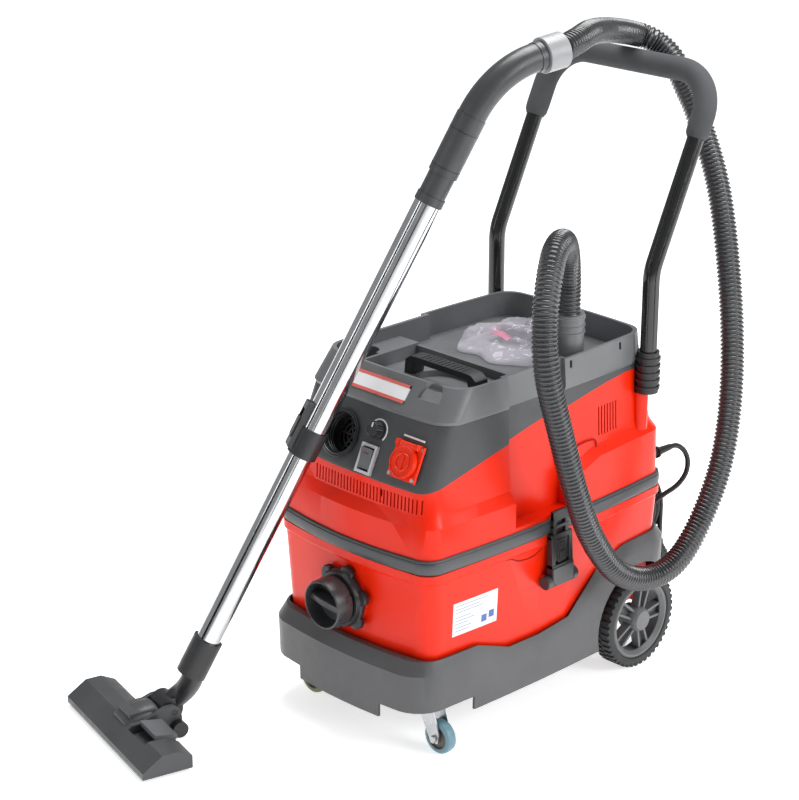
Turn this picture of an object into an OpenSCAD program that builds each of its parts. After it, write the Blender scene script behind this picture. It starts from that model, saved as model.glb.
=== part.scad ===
// Wet and dry shop vacuum on a four-wheeled base, with a push handle, a top tray,
// a suction hose, a telescopic wand and a floor nozzle.
// Millimetres, +Z up, the front faces -Y, the origin is on the floor under the machine.

/* [Body] */
// Width of the machine at the seal between tank and head
body_w = 332; // [300:1:380]
// Length of the machine at the same seal
body_l = 530; // [480:1:600]
// Corner radius of the body seen from above
corner_r = 30; // [24:1:45]
// How far the middle of each side bows out
side_bow = 10; // [4:1:12]
// Moulded wall thickness of the tank and the head
wall = 3.5; // [2.5:0.5:5]
// Height of the tank's rim above the floor
tank_top = 276; // [250:1:310]
// Height of the rubber seal band
seal_h = 22; // [14:1:26]
// Inward taper of each tank wall per millimetre of height
tank_taper = 0.045; // [0.02:0.005:0.06]
// Height of the seam between tray and control cover
tray_z = 478; // [465:1:500]
// Height of the tray's walls
tray_h = 46; // [36:1:60]

/* [Base] */
// Width of the base
base_w = 336; // [324:1:380]
// Length of the base
base_l = 566; // [530:1:640]
// Ground clearance of the base
base_z = 50; // [44:1:58]
// Height of the base's edge at the front
base_front_z = 128; // [115:1:140]
// Height of the base's edge behind the side curve
base_rear_z = 187; // [165:1:205]

/* [Wheels] */
// Diameter of a rear wheel over its tread
wheel_d = 152; // [135:1:165]
// Width of a rear tyre
wheel_w = 34; // [26:1:38]
// Diameter of the rear axle
axle_d = 12; // [10:1:16]
// Running clearance, radial, of every shaft in its bore
fit_gap = 0.05; // [0.02:0.01:0.1]
// Diameter of a caster wheel
caster_d = 50; // [40:1:54]

/* [Push handle] */
// Outside diameter of the steel push tube
push_d = 25; // [22:1:28]
// Distance between the two posts, centre to centre
push_w = 306; // [290:1:320]
// Backward lean of the upper handle, in degrees
push_lean = 25.8; // [15:0.1:35]
// Length of the leaning legs, from the bend to the crossbar
push_leg = 280; // [240:1:330]

/* [Suction parts] */
// Outside diameter of the hose over its ribs
hose_d = 38; // [34:1:44]
// Diameter of the inner wand tube
wand_d = 35; // [32:1:36]
// Diameter of the outer wand tube
wand_outer_d = 38; // [37:0.5:42]
// Inside diameter of the suction inlet on the tank
inlet_bore_d = 58; // [50:1:62]

/* [Hidden] */
$fn = 48;

// ---- plan outlines and lofted skins ----
arc_steps = 7;
bow_steps = 6;

// One rounded corner of a plan outline.
function corner(cx, cy, r, a0) =
    [for (i = [0:arc_steps], a = a0 + 90 * i / arc_steps) [cx + r * cos(a), cy + r * sin(a)]];

// A bowed side between two corners.
function bulge(p, q, dir, bow) =
    [for (i = [1:bow_steps]) let (t = i / (bow_steps + 1)) p + (q - p) * t + dir * bow * 4 * t * (1 - t)];

// Outline w wide, from y = front to y = rear, with corner radius r and bowed sides.
function plan(w, front, rear, r, bow, front_bow) =
    let (x = w / 2 - bow - r, f = front + front_bow + r, b = rear - front_bow - r)
    concat(corner(x, f, r, -90), bulge([x + r, f], [x + r, b], [1, 0], bow),
        corner(x, b, r, 0), bulge([x, b + r], [-x, b + r], [0, 1], front_bow),
        corner(-x, b, r, 90), bulge([-x - r, b], [-x - r, f], [-1, 0], bow),
        corner(-x, f, r, 180), bulge([-x, f - r], [x, f - r], [0, -1], front_bow));

function at_z(points, z) = [for (p = points) [p[0], p[1], z]];

// A skin over rings with the same number of points: a solid with two end faces,
// or a closed loop of rings with no end faces.
module loft(rings, loop = false) {
    n = len(rings[0]);
    m = len(rings);
    bands = loop ? m - 1 : m - 2;
    skin = [for (j = [0:bands], i = [0:n - 1])
        let (next = (i + 1) % n, up = ((j + 1) % m) * n)
        let (a = j * n + i, b = j * n + next, c = up + i, d = up + next)
        each [[a, c, b], [b, c, d]]];
    ends = loop ? [] : [[for (i = [0:n - 1]) i], [for (i = [n - 1:-1:0]) (m - 1) * n + i]];
    polyhedron(points = [for (r = rings) each r], faces = concat(skin, ends), convexity = 8);
}

// ---- swept tubes ----
function unit(v) = v / norm(v);

// Catmull-Rom points through a route, with steps points per stretch.
function spline(route, steps) =
    let (last = len(route) - 1)
    concat([for (i = [0:last - 1], s = [0:steps - 1])
        let (t = s / steps, p0 = route[max(i - 1, 0)], p1 = route[i], p2 = route[i + 1],
            p3 = route[min(i + 2, last)])
        0.5 * (2 * p1 + (p2 - p0) * t + (2 * p0 - 5 * p1 + 4 * p2 - p3) * t * t
            + (3 * p1 - p0 - 3 * p2 + p3) * t * t * t)], [route[last]]);

function tangent(path, i) = unit(path[min(i + 1, len(path) - 1)] - path[max(i - 1, 0)]);

// Sideways direction carried along a path without twisting.
function side_dirs(path, i = 0, last = [1, 0, 0]) =
    i == len(path) ? [] :
    let (t = tangent(path, i), s = unit(last - t * (last * t))) concat([s], side_dirs(path, i + 1, s));

// A round tube of diameter d along a path.
module sweep(path, d, sides = 12, start_side = [1, 0, 0]) {
    dirs = side_dirs(path, 0, start_side);
    loft([for (k = [0:len(path) - 1])
        let (s = dirs[k], u = cross(tangent(path, k), s))
        [for (i = [0:sides - 1]) path[k] + (s * cos(360 * i / sides) + u * sin(360 * i / sides)) * d / 2]]);
}

// A circle's cylinder along X, centred on the origin.
module rod_x(d, w) {
    rotate([0, 90, 0]) cylinder(d = d, h = w, center = true);
}

// The right-hand piece for side 1, and its mirror image for side -1.
module on_side(side) {
    mirror([side < 0 ? 1 : 0, 0, 0]) children();
}

// A tube's cross-section, or a bar's where bore is 0.
module ring_2d(d, bore) {
    difference() {
        circle(d = d);
        circle(d = bore);
    }
}

// A round tube that starts along +Z and bends towards +X, with centre-line radius r.
module bend(r, angle, d, bore = 0) {
    translate([r, 0, 0]) rotate([90, 0, 180])
        rotate_extrude(angle = angle) translate([r, 0]) ring_2d(d, bore);
}

// Moves its children to the end of such a bend.
module after_bend(r, angle) {
    translate([r * (1 - cos(angle)), 0, r * sin(angle)]) rotate([0, angle, 0]) children();
}

// Ease from 0 to 1.
function ease(t) = let (c = min(max(t, 0), 1)) c * c * (3 - 2 * c);

// ---- derived sizes ----
half_l = body_l / 2;
seal_top = tank_top + seal_h;
part_gap = 0.4;
tank_floor = 96;
tank_r = corner_r - 3;
base_half = base_l / 2;
base_r = 52;
base_wall = 4;
chamfer_in = 6;
chamfer_end_in = 14;
chamfer_up = 18;
dip_z = base_front_z - 23;
wheel_y = 186;
wheel_x = base_w / 2 + 6;
arch_r = wheel_d / 2 + 13;
deck_z = tank_floor - 6;
ledge_low = seal_top + 44;
ledge_high = ledge_low + 15;
ledge_in = 13;
ledge_step = 24;
panel_low = ledge_high + 33;
seam_rise = 80;
head_w = body_w - 6;
upper_w = head_w - 2 * ledge_in;
cover_top_w = upper_w - 12;
head_front = -half_l + 3;
upper_front = head_front + ledge_in;
cover_front = -206;
panel_lean = atan2(cover_front - upper_front - 2, tray_z - panel_low);
tray_w = 294;
tray_front = -210;
rim_front = -181;
tray_rear = 222;
rim_z = tray_z + tray_h;
post_x = push_w / 2;
post_y = 203;
bend_z = 601;
collar_z = 434;
collar_h = 63;
notch_y = -27;
notch_l = 114;
notch_d = 13;

// Height of the base's upper edge at a place along its length.
function base_edge(y) =
    base_front_z - (base_front_z - dip_z) * ease((y + 150) / 50)
    + (base_rear_z - dip_z) * ease((y - 10) / 125);

// Height of the seam between the red head and the dark control cover.
function cover_seam(y) = panel_low + seam_rise * (1 - pow(1 - min(max((y + 235) / 400, 0), 1), 1.3));

function chamfer_plan(inset, end_inset) =
    plan(base_w - 2 * inset, -base_half + end_inset, base_half - end_inset, base_r - chamfer_in, 7, 7);
function base_plan(inset) =
    plan(base_w - 2 * inset, -base_half + inset, base_half - inset, base_r - inset, 7, 7);
function body_plan(inset) =
    plan(body_w - 2 * inset, -half_l + inset, half_l - inset, corner_r, side_bow, side_bow + 2);
function edge_ring(points, up) = [for (p = points) [p[0], p[1], base_edge(p[1]) + up]];

// The front panel's own frame: X across, Z up along the panel, -Y out of it.
module on_panel(x, up) {
    translate([x, upper_front + 2, panel_low]) rotate([-panel_lean, 0, 0]) translate([0, 0, up]) children();
}

// The recess in each side of head and tray, which a wall's thickness grows for the inside.
module side_notches(grow) {
    for (side = [-1, 1]) {
        on_side(side)
            translate([upper_w / 2 - notch_d - grow, notch_y - notch_l / 2 - grow, seal_top + 6 - grow])
            cube([60 + grow, notch_l + 2 * grow, 300 + grow]);
    }
}

// ---- base ----
caster_x = 130;
caster_y = -222;
caster_trail = 21;
plate_z = 76;
foot_r = caster_d / 2;

module base() {
    color("#4b4c4e") difference() {
        union() {
            loft([at_z(base_plan(2), base_z), edge_ring(base_plan(0), 0),
                edge_ring(chamfer_plan(chamfer_in, chamfer_end_in), chamfer_up),
                edge_ring(tank_plan(base_rear_z + chamfer_up, -0.6), chamfer_up),
                edge_ring(base_plan(base_wall), -2), at_z(base_plan(base_wall + 2), base_z)], loop = true);
            translate([0, 0, deck_z - base_wall])
                linear_extrude(base_wall) polygon(base_plan(base_wall - 1));
            for (side = [-1, 1]) {
                on_side(side) {
                    translate([base_w / 2 - 64, wheel_y - 22, base_z + 4])
                        cube([14, 44, deck_z - base_wall - base_z - 3]);
                    translate([caster_x, caster_y, plate_z])
                        cylinder(d = 46, h = deck_z - base_wall - plate_z + 1);
                }
            }
        }
        for (side = [-1, 1]) {
            on_side(side) {
                translate([base_w / 2 - 48, wheel_y, wheel_d / 2])
                    rotate([0, 90, 0]) cylinder(r = arch_r, h = 80);
                translate([base_w / 2 - 48, wheel_y, 0]) cube([80, base_half, wheel_d / 2 + 36]);
                translate([caster_x - 48, -base_half - 10, base_z - 5]) cube([200, 128, 26]);
            }
        }
        translate([0, wheel_y, wheel_d / 2]) rod_x(axle_d, base_w);
        for (side = [-1, 1]) {
            on_side(side) translate([caster_x, caster_y, plate_z - 1]) cylinder(d = stem_d, h = stem_h + 2);
        }
    }
}

// ---- tank, seal and inlet ----
inlet_z = 205;
inlet_y = -half_l + 4;
bezel_t = 16;
cap_t = 30;

function tank_plan(z, inset) =
    let (k = tank_taper * (tank_top - z) + inset)
    plan(body_w - 6 - 2 * k, -half_l + 3 + k, half_l - 3 - k, tank_r, side_bow - 1, side_bow + 1);

// The tank narrows over the rear wheels, so that they turn beside it.
module wheel_houses(extra) {
    for (side = [-1, 1]) {
        on_side(side) translate([wheel_x - wheel_w - 8 - extra, wheel_y, wheel_d / 2]) rotate([0, 90, 0])
            cylinder(r = arch_r + extra, h = 80);
    }
}

module tank() {
    color("#e01d10") difference() {
        union() {
            difference() {
                loft([at_z(tank_plan(tank_floor, 3), deck_z),
                    at_z(tank_plan(tank_floor + 8, 0), tank_floor + 8),
                    at_z(tank_plan(tank_top - 16, 0), tank_top - 16),
                    at_z(tank_plan(tank_top, -2), tank_top - 12),
                    at_z(tank_plan(tank_top, -2), tank_top)]);
                wheel_houses(0);
            }
            translate([0, inlet_y + 10, inlet_z])
                rotate([90, 0, 0]) cylinder(d = inlet_bore_d + 24, h = 12);
            for (side = [-1, 1]) {
                on_side(side) latch_lugs();
            }
        }
        difference() {
            loft([at_z(tank_plan(tank_floor, wall + 1), tank_floor),
                at_z(tank_plan(tank_top, wall), tank_top + 1)]);
            wheel_houses(wall);
        }
        translate([0, inlet_y + 40, inlet_z]) rotate([90, 0, 0]) cylinder(d = inlet_bore_d + 8, h = 80);
    }
}

module tank_seal() {
    color("#3d4144") loft([at_z(body_plan(0), tank_top), at_z(body_plan(0), seal_top),
        at_z(body_plan(14), seal_top), at_z(body_plan(14), tank_top)], loop = true);
}

bezel_y = inlet_y - 2;

module inlet_bezel() {
    color("#222325") difference() {
        union() {
            translate([0, bezel_y, inlet_z]) rotate([90, 0, 0]) {
                cylinder(d = inlet_bore_d + 30, h = bezel_t);
                for (i = [0:5]) {
                    rotate(60 * i + 15) translate([inlet_bore_d / 2 + 11, 0, 0]) cylinder(d = 26, h = 9);
                }
            }
            translate([0, bezel_y + 26, inlet_z])
                rotate([90, 0, 0]) cylinder(d = inlet_bore_d + 7.6, h = 27);
        }
        translate([0, bezel_y + 60, inlet_z]) rotate([90, 0, 0]) cylinder(d = inlet_bore_d, h = 120);
    }
}

cap_y = bezel_y - bezel_t - part_gap;

module inlet_cap() {
    color("#1b1c1d") translate([0, cap_y, inlet_z]) rotate([90, 0, 0]) difference() {
        union() {
            cylinder(d = inlet_bore_d + 14, h = cap_t);
            translate([0, 0, -bezel_t]) cylinder(d = inlet_bore_d - 2, h = bezel_t + 1);
        }
        difference() {
            translate([0, 0, 4]) cylinder(d = inlet_bore_d + 4, h = cap_t);
            rotate(-20) translate([-inlet_bore_d, -7, 0]) cube([2 * inlet_bore_d, 14, cap_t - 3]);
        }
    }
}

// ---- latches ----
latch_y = -2;
latch_w = 44;
latch_pin_x = body_w / 2 + 5;
latch_pin_z = 206;
latch_pin_d = 6;
latch_top = seal_top + 14;
lug_t = 6;

// Two ears on the tank's side that hold a latch's pin.
module latch_lugs() {
    for (s = [-1, 1]) {
        translate([0, latch_y + s * (latch_w / 2 + 1 + lug_t / 2) - lug_t / 2, latch_pin_z]) difference() {
            union() {
                translate([body_w / 2 - 9, 0, -9]) cube([14, lug_t, 18]);
                translate([latch_pin_x, 0, 0]) rotate([-90, 0, 0]) cylinder(d = 18, h = lug_t);
            }
            translate([latch_pin_x, -1, 0]) rotate([-90, 0, 0]) cylinder(d = latch_pin_d, h = lug_t + 2);
        }
    }
}

module latch_pins() {
    color("#9a9da0") for (side = [-1, 1]) {
        on_side(side) translate([latch_pin_x, latch_y, latch_pin_z]) rotate([90, 0, 0])
            cylinder(d = latch_pin_d, h = latch_w + 2 * lug_t + 2, center = true);
    }
}

// The latch turns on the pin in its foot, and its head lies against the side of the lid.
module latch(side) {
    lip = body_w / 2 + part_gap;
    color("#242628") on_side(side) difference() {
        translate([0, latch_y + latch_w / 2, 0]) rotate([90, 0, 0]) linear_extrude(latch_w) union() {
            translate([latch_pin_x, latch_pin_z]) circle(d = 19);
            polygon([[latch_pin_x - 5, latch_pin_z], [lip, tank_top - 16], [lip, latch_top],
                [lip + 5, latch_top], [lip + 8, latch_top - 6], [lip + 9, tank_top - 20],
                [latch_pin_x + 9.5, latch_pin_z]]);
        }
        translate([latch_pin_x, latch_y, latch_pin_z]) rotate([90, 0, 0])
            cylinder(d = latch_pin_d + 2 * fit_gap, h = latch_w + 2, center = true);
        translate([lip + 4, latch_y - latch_w / 4, latch_pin_z + 24]) cube([20, latch_w / 2, 62]);
    }
}

module latch_left() {
    latch(-1);
}

module latch_right() {
    latch(1);
}

// ---- rear wheels ----
rim_d = wheel_d - 30;
hub_d = 38;
spokes = 5;

module rear_axle() {
    color("#a9acb0") translate([0, wheel_y, wheel_d / 2]) rod_x(axle_d, 2 * (wheel_x - 4));
}

// Places its children at a rear wheel's centre, with the axle along Z.
module on_wheel(side) {
    on_side(side) translate([wheel_x - wheel_w / 2, wheel_y, wheel_d / 2])
        rotate([0, 90, 0]) children();
}

module rear_wheel(side) {
    color("#8d8f92") on_wheel(side)
        difference() {
            union() {
                difference() {
                    cylinder(d = rim_d, h = wheel_w - 6, center = true);
                    cylinder(d = rim_d - 14, h = wheel_w, center = true);
                }
                cylinder(d = hub_d, h = wheel_w - 2, center = true);
                translate([0, 0, -2]) cylinder(d = rim_d - 8, h = 4, center = true);
                for (i = [0:spokes - 1], s = [-1, 1]) {
                    rotate(360 / spokes * i) translate([hub_d / 2 - 4, s * 7 - 2.5, 0])
                        cube([rim_d / 2 - hub_d / 2, 5, wheel_w / 2 - 5]);
                }
            }
            cylinder(d = axle_d + 2 * fit_gap, h = wheel_w + 2, center = true);
            for (i = [0:spokes - 1]) {
                rotate(360 / spokes * (i + 0.5)) translate([rim_d / 2 - 21, 0, 0])
                    cylinder(d = 20, h = wheel_w, center = true);
            }
        }
}

module rear_wheel_left() {
    rear_wheel(-1);
}

module rear_wheel_right() {
    rear_wheel(1);
}

module rear_tyre(side) {
    color("#2c2d2e") on_wheel(side)
        rotate_extrude($fn = 72) polygon([[rim_d / 2, -wheel_w / 2 + 3], [rim_d / 2 + 4, -wheel_w / 2],
            [wheel_d / 2 - 4, -wheel_w / 2], [wheel_d / 2, -wheel_w / 2 + 4],
            [wheel_d / 2, wheel_w / 2 - 4], [wheel_d / 2 - 4, wheel_w / 2],
            [rim_d / 2 + 4, wheel_w / 2], [rim_d / 2, wheel_w / 2 - 3]]);
}

module rear_tyre_left() {
    rear_tyre(-1);
}

module rear_tyre_right() {
    rear_tyre(1);
}

module hub_cap(side) {
    color("#97999c") on_side(side) translate([wheel_x - 1, wheel_y, wheel_d / 2]) rotate([0, 90, 0]) {
        cylinder(d1 = hub_d - 2, d2 = hub_d - 8, h = 4);
    }
}

module hub_cap_left() {
    hub_cap(-1);
}

module hub_cap_right() {
    hub_cap(1);
}

// ---- casters ----
stem_d = 11;
stem_h = 9;
fork_gap = 1;
caster_w = 18;
caster_axle_d = 6;
fork_top = plate_z - 4 - fork_gap;

module caster_plate(side) {
    color("#b9bcbf") translate([side * caster_x, caster_y, plate_z - 4]) difference() {
        union() {
            cylinder(d = 44, h = 4);
            cylinder(d = stem_d, h = stem_h + 4);
        }
        translate([0, 0, -1]) cylinder(d = 8 + 2 * fit_gap, h = 11);
    }
}

module caster_plate_left() {
    caster_plate(-1);
}

module caster_plate_right() {
    caster_plate(1);
}

// The fork trails to the right of its stem.
module caster_fork(side) {
    color("#c2c4c6") translate([side * caster_x, caster_y, 0]) difference() {
        union() {
            translate([0, 0, fork_top - 6]) cylinder(d = 38, h = 6);
            translate([0, 0, fork_top - 1]) cylinder(d = 8, h = 9);
            for (s = [-1, 1]) {
                translate([0, s * (caster_w / 2 + 2.5) + 1.25, 0]) rotate([90, 0, 0]) linear_extrude(2.5)
                    polygon([[-15, fork_top], [17, fork_top], [caster_trail + 9, foot_r + 8],
                        [caster_trail + 7, foot_r - 6], [caster_trail - 7, foot_r - 7],
                        [-8, fork_top - 12]]);
            }
        }
        translate([caster_trail, 0, foot_r]) rotate([90, 0, 0])
            cylinder(d = caster_axle_d, h = 60, center = true);
    }
}

module caster_fork_left() {
    caster_fork(-1);
}

module caster_fork_right() {
    caster_fork(1);
}

module caster_axle(side) {
    color("#8a8c8e") translate([side * caster_x + caster_trail, caster_y, foot_r]) rotate([90, 0, 0]) {
        cylinder(d = caster_axle_d, h = caster_w + 12, center = true);
        for (s = [-1, 1]) {
            translate([0, 0, s * (caster_w / 2 + 6)]) cylinder(d = 11, h = 4, center = true, $fn = 6);
        }
    }
}

module caster_axle_left() {
    caster_axle(-1);
}

module caster_axle_right() {
    caster_axle(1);
}

module caster_wheel(side) {
    half = caster_w / 2;
    color("#5f7076") translate([side * caster_x + caster_trail, caster_y, foot_r]) rotate([90, 0, 0])
        difference() {
            rotate_extrude() polygon([[0, -half], [foot_r - 8, -half], [foot_r - 7, -half + 1],
                [foot_r - 2, -half + 1], [foot_r, -half + 4], [foot_r, half - 4], [foot_r - 2, half - 1],
                [foot_r - 7, half - 1], [foot_r - 8, half], [0, half]]);
            cylinder(d = caster_axle_d + 2 * fit_gap, h = caster_w + 2, center = true);
        }
}

module caster_wheel_left() {
    caster_wheel(-1);
}

module caster_wheel_right() {
    caster_wheel(1);
}

// ---- head ----
function upper_plan(inset) = plan(upper_w - 2 * inset, upper_front + inset, -upper_front - inset, 34, 6, 5);
function cover_plan(inset) =
    plan(cover_top_w - 2 * inset, cover_front + inset, -upper_front - 10 - inset, 30, 5, 2);

// The ledge round the head steps up towards the rear.
function ledge_ring(points, z) = [for (p = points) [p[0], p[1], z + ledge_step * ease((p[1] - 45) / 60)]];

// The whole outer form of head and cover, moved inwards by inset.
module hood(inset) {
    bottom = inset > 0 ? seal_top + wall : seal_top;
    top = inset > 0 ? tray_z - wall : tray_z;
    loft([at_z(body_plan(3 + inset), bottom), ledge_ring(body_plan(4 + inset), ledge_low - inset / 2),
        ledge_ring(upper_plan(inset), ledge_high - inset / 2), at_z(upper_plan(2 + inset), panel_low + 4),
        at_z(cover_plan(inset), top)]);
}

// Everything below the seam between the head and the control cover.
module below_seam() {
    rotate([90, 0, 90]) linear_extrude(2 * body_w, center = true)
        polygon([[-body_l, 0], [-body_l, cover_seam(-body_l)], for (y = [-235:40:205]) [y, cover_seam(y)],
            [body_l, cover_seam(body_l)], [body_l, 0]]);
}

module hood_shell() {
    difference() {
        hood(0);
        side_notches(0);
        difference() {
            hood(wall);
            side_notches(wall);
        }
    }
}

vent_pitch = 6.5;
vent_w = 2.6;

module head_vents() {
    for (x = [-75:vent_pitch:130]) {
        translate([x, head_front - 5, ledge_high + 3]) cube([vent_w, 40, panel_low - ledge_high - 12]);
    }
    for (y = [104:vent_pitch:144], side = [-1, 1]) {
        on_side(side) translate([upper_w / 2 - 20, y, ledge_high + ledge_step + 8]) cube([40, vent_w, 44]);
    }
}

peg_w = 14;
peg_t = 8;
peg_z = 226;
strap_y = half_l + 2;
coil_gap = 3;

// The hook on the back of the head that the wound lead hangs on.
module lead_hook() {
    translate([coil_x - peg_w / 2, half_l - 8, seal_top + 4]) cube([peg_w, 14, 18]);
    translate([coil_x - peg_w / 2, strap_y, peg_z]) cube([peg_w, 6, seal_top + 22 - peg_z]);
    translate([coil_x - peg_w / 2, strap_y, peg_z])
        cube([peg_w, coil_y + coil_side / 2 + 8 - strap_y, peg_t]);
    translate([coil_x - peg_w / 2, coil_y + coil_side / 2 + coil_gap, peg_z]) cube([peg_w, 6, 26]);
}

module head_shell() {
    color("#dd1b0f") difference() {
        union() {
            intersection() {
                hood_shell();
                below_seam();
            }
            for (side = [-1, 1]) {
                on_side(side) translate([post_x - 10, post_y - 3, ledge_high + ledge_step - 6])
                    cylinder(r = 12, h = collar_z - ledge_high - ledge_step + 6);
            }
            lead_hook();
        }
        head_vents();
        post_notches();
        cylinder(d = filter_neck_d, h = seal_top + 20);
        translate([relief_x, half_l, relief_z])
            rotate([90, 0, 0]) cylinder(d = relief_d, h = 60, center = true);
    }
}

module post_notches() {
    for (side = [-1, 1]) {
        on_side(side) translate([post_x, post_y, collar_z - 1]) cylinder(r = post_clear, h = 300);
    }
}

module control_cover() {
    color("#3f4143") difference() {
        hood_shell();
        below_seam();
        post_notches();
        on_panel(port_x, port_up) rotate([90, 0, 0]) cylinder(d = port_d, h = 30, center = true);
        on_panel(knob_x, knob_up)
            rotate([90, 0, 0]) cylinder(d = knob_shaft_d + 2 * fit_gap, h = 30, center = true);
        on_panel(rocker_x, rocker_up) cube([rocker_w + 4, 30, rocker_h + 4], center = true);
        on_panel(socket_x, socket_up) rotate([90, 0, 0]) cylinder(d = socket_d, h = 30, center = true);
    }
}

// ---- tray ----
tray_floor = 8;
tray_wall = 6;
deck_back = -28;
deck_up = 12;
deck_left = -52;
rib_w = 5;
rib_up = 24;
post_clear = 19.5;
cup_x = 92;
cup_y = -190;
cup_d = 40;
cup_up = 26;
handle_x = 27;
handle_y = -90;
handle_half = 66;
handle_w = 24;
grip_floor = 3;
pocket_back = -104;
pocket_x = -94;
pocket_d = 34;
grip_hole_d = 76;
grip_hole_half = 16;
slot_t = 5;

// The tray's outline; at the rim the front wall has leaned back by lean.
function tray_plan(inset, lean) =
    plan(tray_w - 2 * inset, tray_front + lean + inset, tray_rear - inset, 34, 5, 4);

rim_lean = rim_front - tray_front;

// The basin inside the tray's walls.
module tray_basin() {
    difference() {
        loft([at_z(tray_plan(tray_wall + 1, 4), tray_z + tray_floor),
            at_z(tray_plan(tray_wall + 2, rim_lean), rim_z + 1)]);
        side_notches(tray_wall);
        for (side = [-1, 1]) {
            on_side(side) translate([post_x, post_y, 0])
                cylinder(r = post_clear + tray_wall, h = rim_z + 1);
        }
    }
}

// The raised deck with the carrying handle, and the ribs and the pocket to its left.
module tray_deck() {
    deck_l = deck_back - rim_front;
    intersection() {
        union() {
            translate([deck_left, rim_front, tray_z + 1]) cube([body_w, deck_l, deck_up - 1]);
            translate([-body_w, deck_back - rib_w, tray_z + 1]) cube([2 * body_w, rib_w, rib_up]);
            translate([pocket_x, rim_front, tray_z + 1]) cube([rib_w, 90, rib_up + 3]);
            translate([-body_w, pocket_back, tray_z + 1])
                cube([body_w + pocket_x + rib_w, deck_back - pocket_back, rib_up + 3]);
        }
        loft([at_z(tray_plan(tray_wall, 4), tray_z + 1),
            at_z(tray_plan(tray_wall + 1, rim_lean), rim_z)]);
    }
}

module tray() {
    color("#4a4c4e") difference() {
        union() {
            difference() {
                loft([at_z(tray_plan(2, 0), tray_z), at_z(tray_plan(0, 0), tray_z + 6),
                    at_z(tray_plan(3, rim_lean), rim_z)]);
                tray_basin();
            }
            tray_deck();
        }
        side_notches(0);
        post_notches();
        translate([cup_x, cup_y, tray_z + cup_up]) cylinder(d = cup_d, h = tray_h);
        translate([pocket_x - 7 - pocket_d / 2, pocket_back, tray_z + tray_floor])
            cylinder(d = pocket_d, h = tray_h);
        hull() {
            for (s = [-1, 1]) {
                translate([handle_x + s * grip_hole_half, handle_y, tray_z + grip_floor])
                    cylinder(d = grip_hole_d, h = tray_h, $fn = 32);
            }
        }
        for (y = [40, 150]) {
            translate([tray_w / 2 - 16, y, rim_z - 16]) cube([30, slot_t, 11]);
        }
    }
}

handle_low = tray_z + deck_up;
handle_top = tray_z + 40;
handle_t = 9;

rib_pitch = 8;
rib_cut = 2.4;
arch_outer = [[handle_half + 6, handle_low], [handle_half + 4, handle_top - 8],
    [handle_half - 6, handle_top - 1], [handle_half - 18, handle_top]];
arch_inner = [[handle_half - 10, handle_low], [handle_half - 14, handle_top - handle_t]];

function flip(points) = [for (i = [len(points) - 1:-1:0]) points[i]];

module carry_handle() {
    color("#1f2022") translate([handle_x, handle_y + handle_w / 2, 0]) rotate([90, 0, 0]) difference() {
        linear_extrude(handle_w) polygon([for (side = [1, -1], p = side > 0 ? arch_outer : flip(arch_outer))
            [side * p[0], p[1]], for (side = [-1, 1], p = side < 0 ? arch_inner : flip(arch_inner))
            [side * p[0], p[1]]]);
        for (i = [-5:5]) {
            translate([i * rib_pitch - rib_cut / 2, handle_top - 1.4, 3]) cube([rib_cut, 3, handle_w - 6]);
        }
    }
}

// ---- control panel ----
port_x = -42;
port_up = 46;
port_d = 64;
knob_x = 24;
knob_up = 66;
knob_shaft_d = 8;
knob_gap = 1.6;
rocker_x = 22;
rocker_up = 24;
rocker_w = 22;
rocker_h = 34;
rocker_pin_d = 3;
socket_x = 92;
socket_up = 40;
socket_d = 44;

port_depth = 28;
port_plate = 3;
port_bore_d = port_d - 6;

// The ring-shaped air slots in the plate at the bottom of the port.
module port_slots() {
    difference() {
        for (r = [7, 14.5, 22]) {
            difference() {
                cylinder(r = r + 2.4, h = 3 * port_plate, center = true);
                cylinder(r = r - 2.4, h = 4 * port_plate, center = true);
            }
        }
        for (a = [0:60:120]) {
            rotate(a) cube([port_d, port_plate, 5 * port_plate], center = true);
        }
    }
}

module exhaust_port() {
    color("#151617") on_panel(port_x, port_up) rotate([90, 0, 0]) difference() {
        union() {
            translate([0, 0, -port_depth]) cylinder(d = port_d, h = port_depth + 1);
            cylinder(d = port_d + 6, h = 4);
        }
        translate([0, 0, port_plate - port_depth]) cylinder(d = port_bore_d, h = port_depth + 20);
        translate([0, 0, -port_depth]) port_slots();
    }
}

module control_knob() {
    color("#2a2b2d") on_panel(knob_x, knob_up) rotate([90, 0, 0]) {
        translate([0, 0, -9]) cylinder(d = knob_shaft_d, h = 12);
        translate([0, 0, knob_gap]) difference() {
            cylinder(d1 = 25, d2 = 21, h = 14);
            translate([-2, 6, 12]) cube([4, 8, 4]);
        }
    }
}

module switch_frame() {
    color("#c4c5c7") on_panel(rocker_x, rocker_up) difference() {
        union() {
            translate([0, 4, 0]) cube([rocker_w + 4, 16, rocker_h + 4], center = true);
            translate([0, -3, 0]) cube([rocker_w + 8, 6, rocker_h + 8], center = true);
        }
        cube([rocker_w, 40, rocker_h], center = true);
        rod_x(rocker_pin_d + 2 * fit_gap, rocker_w + 3);
    }
}

module rocker_switch() {
    color("#d5d6d8") on_panel(rocker_x, rocker_up) {
        rotate([90, 0, 90]) linear_extrude(rocker_w - 1, center = true)
            polygon([[-6, -rocker_h / 2 + 3], [-7, 0], [-10, rocker_h / 2 - 2], [6, rocker_h / 2 - 6],
                [6, -rocker_h / 2 + 6]]);
        rod_x(rocker_pin_d, rocker_w + 2.4);
    }
}

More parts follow.
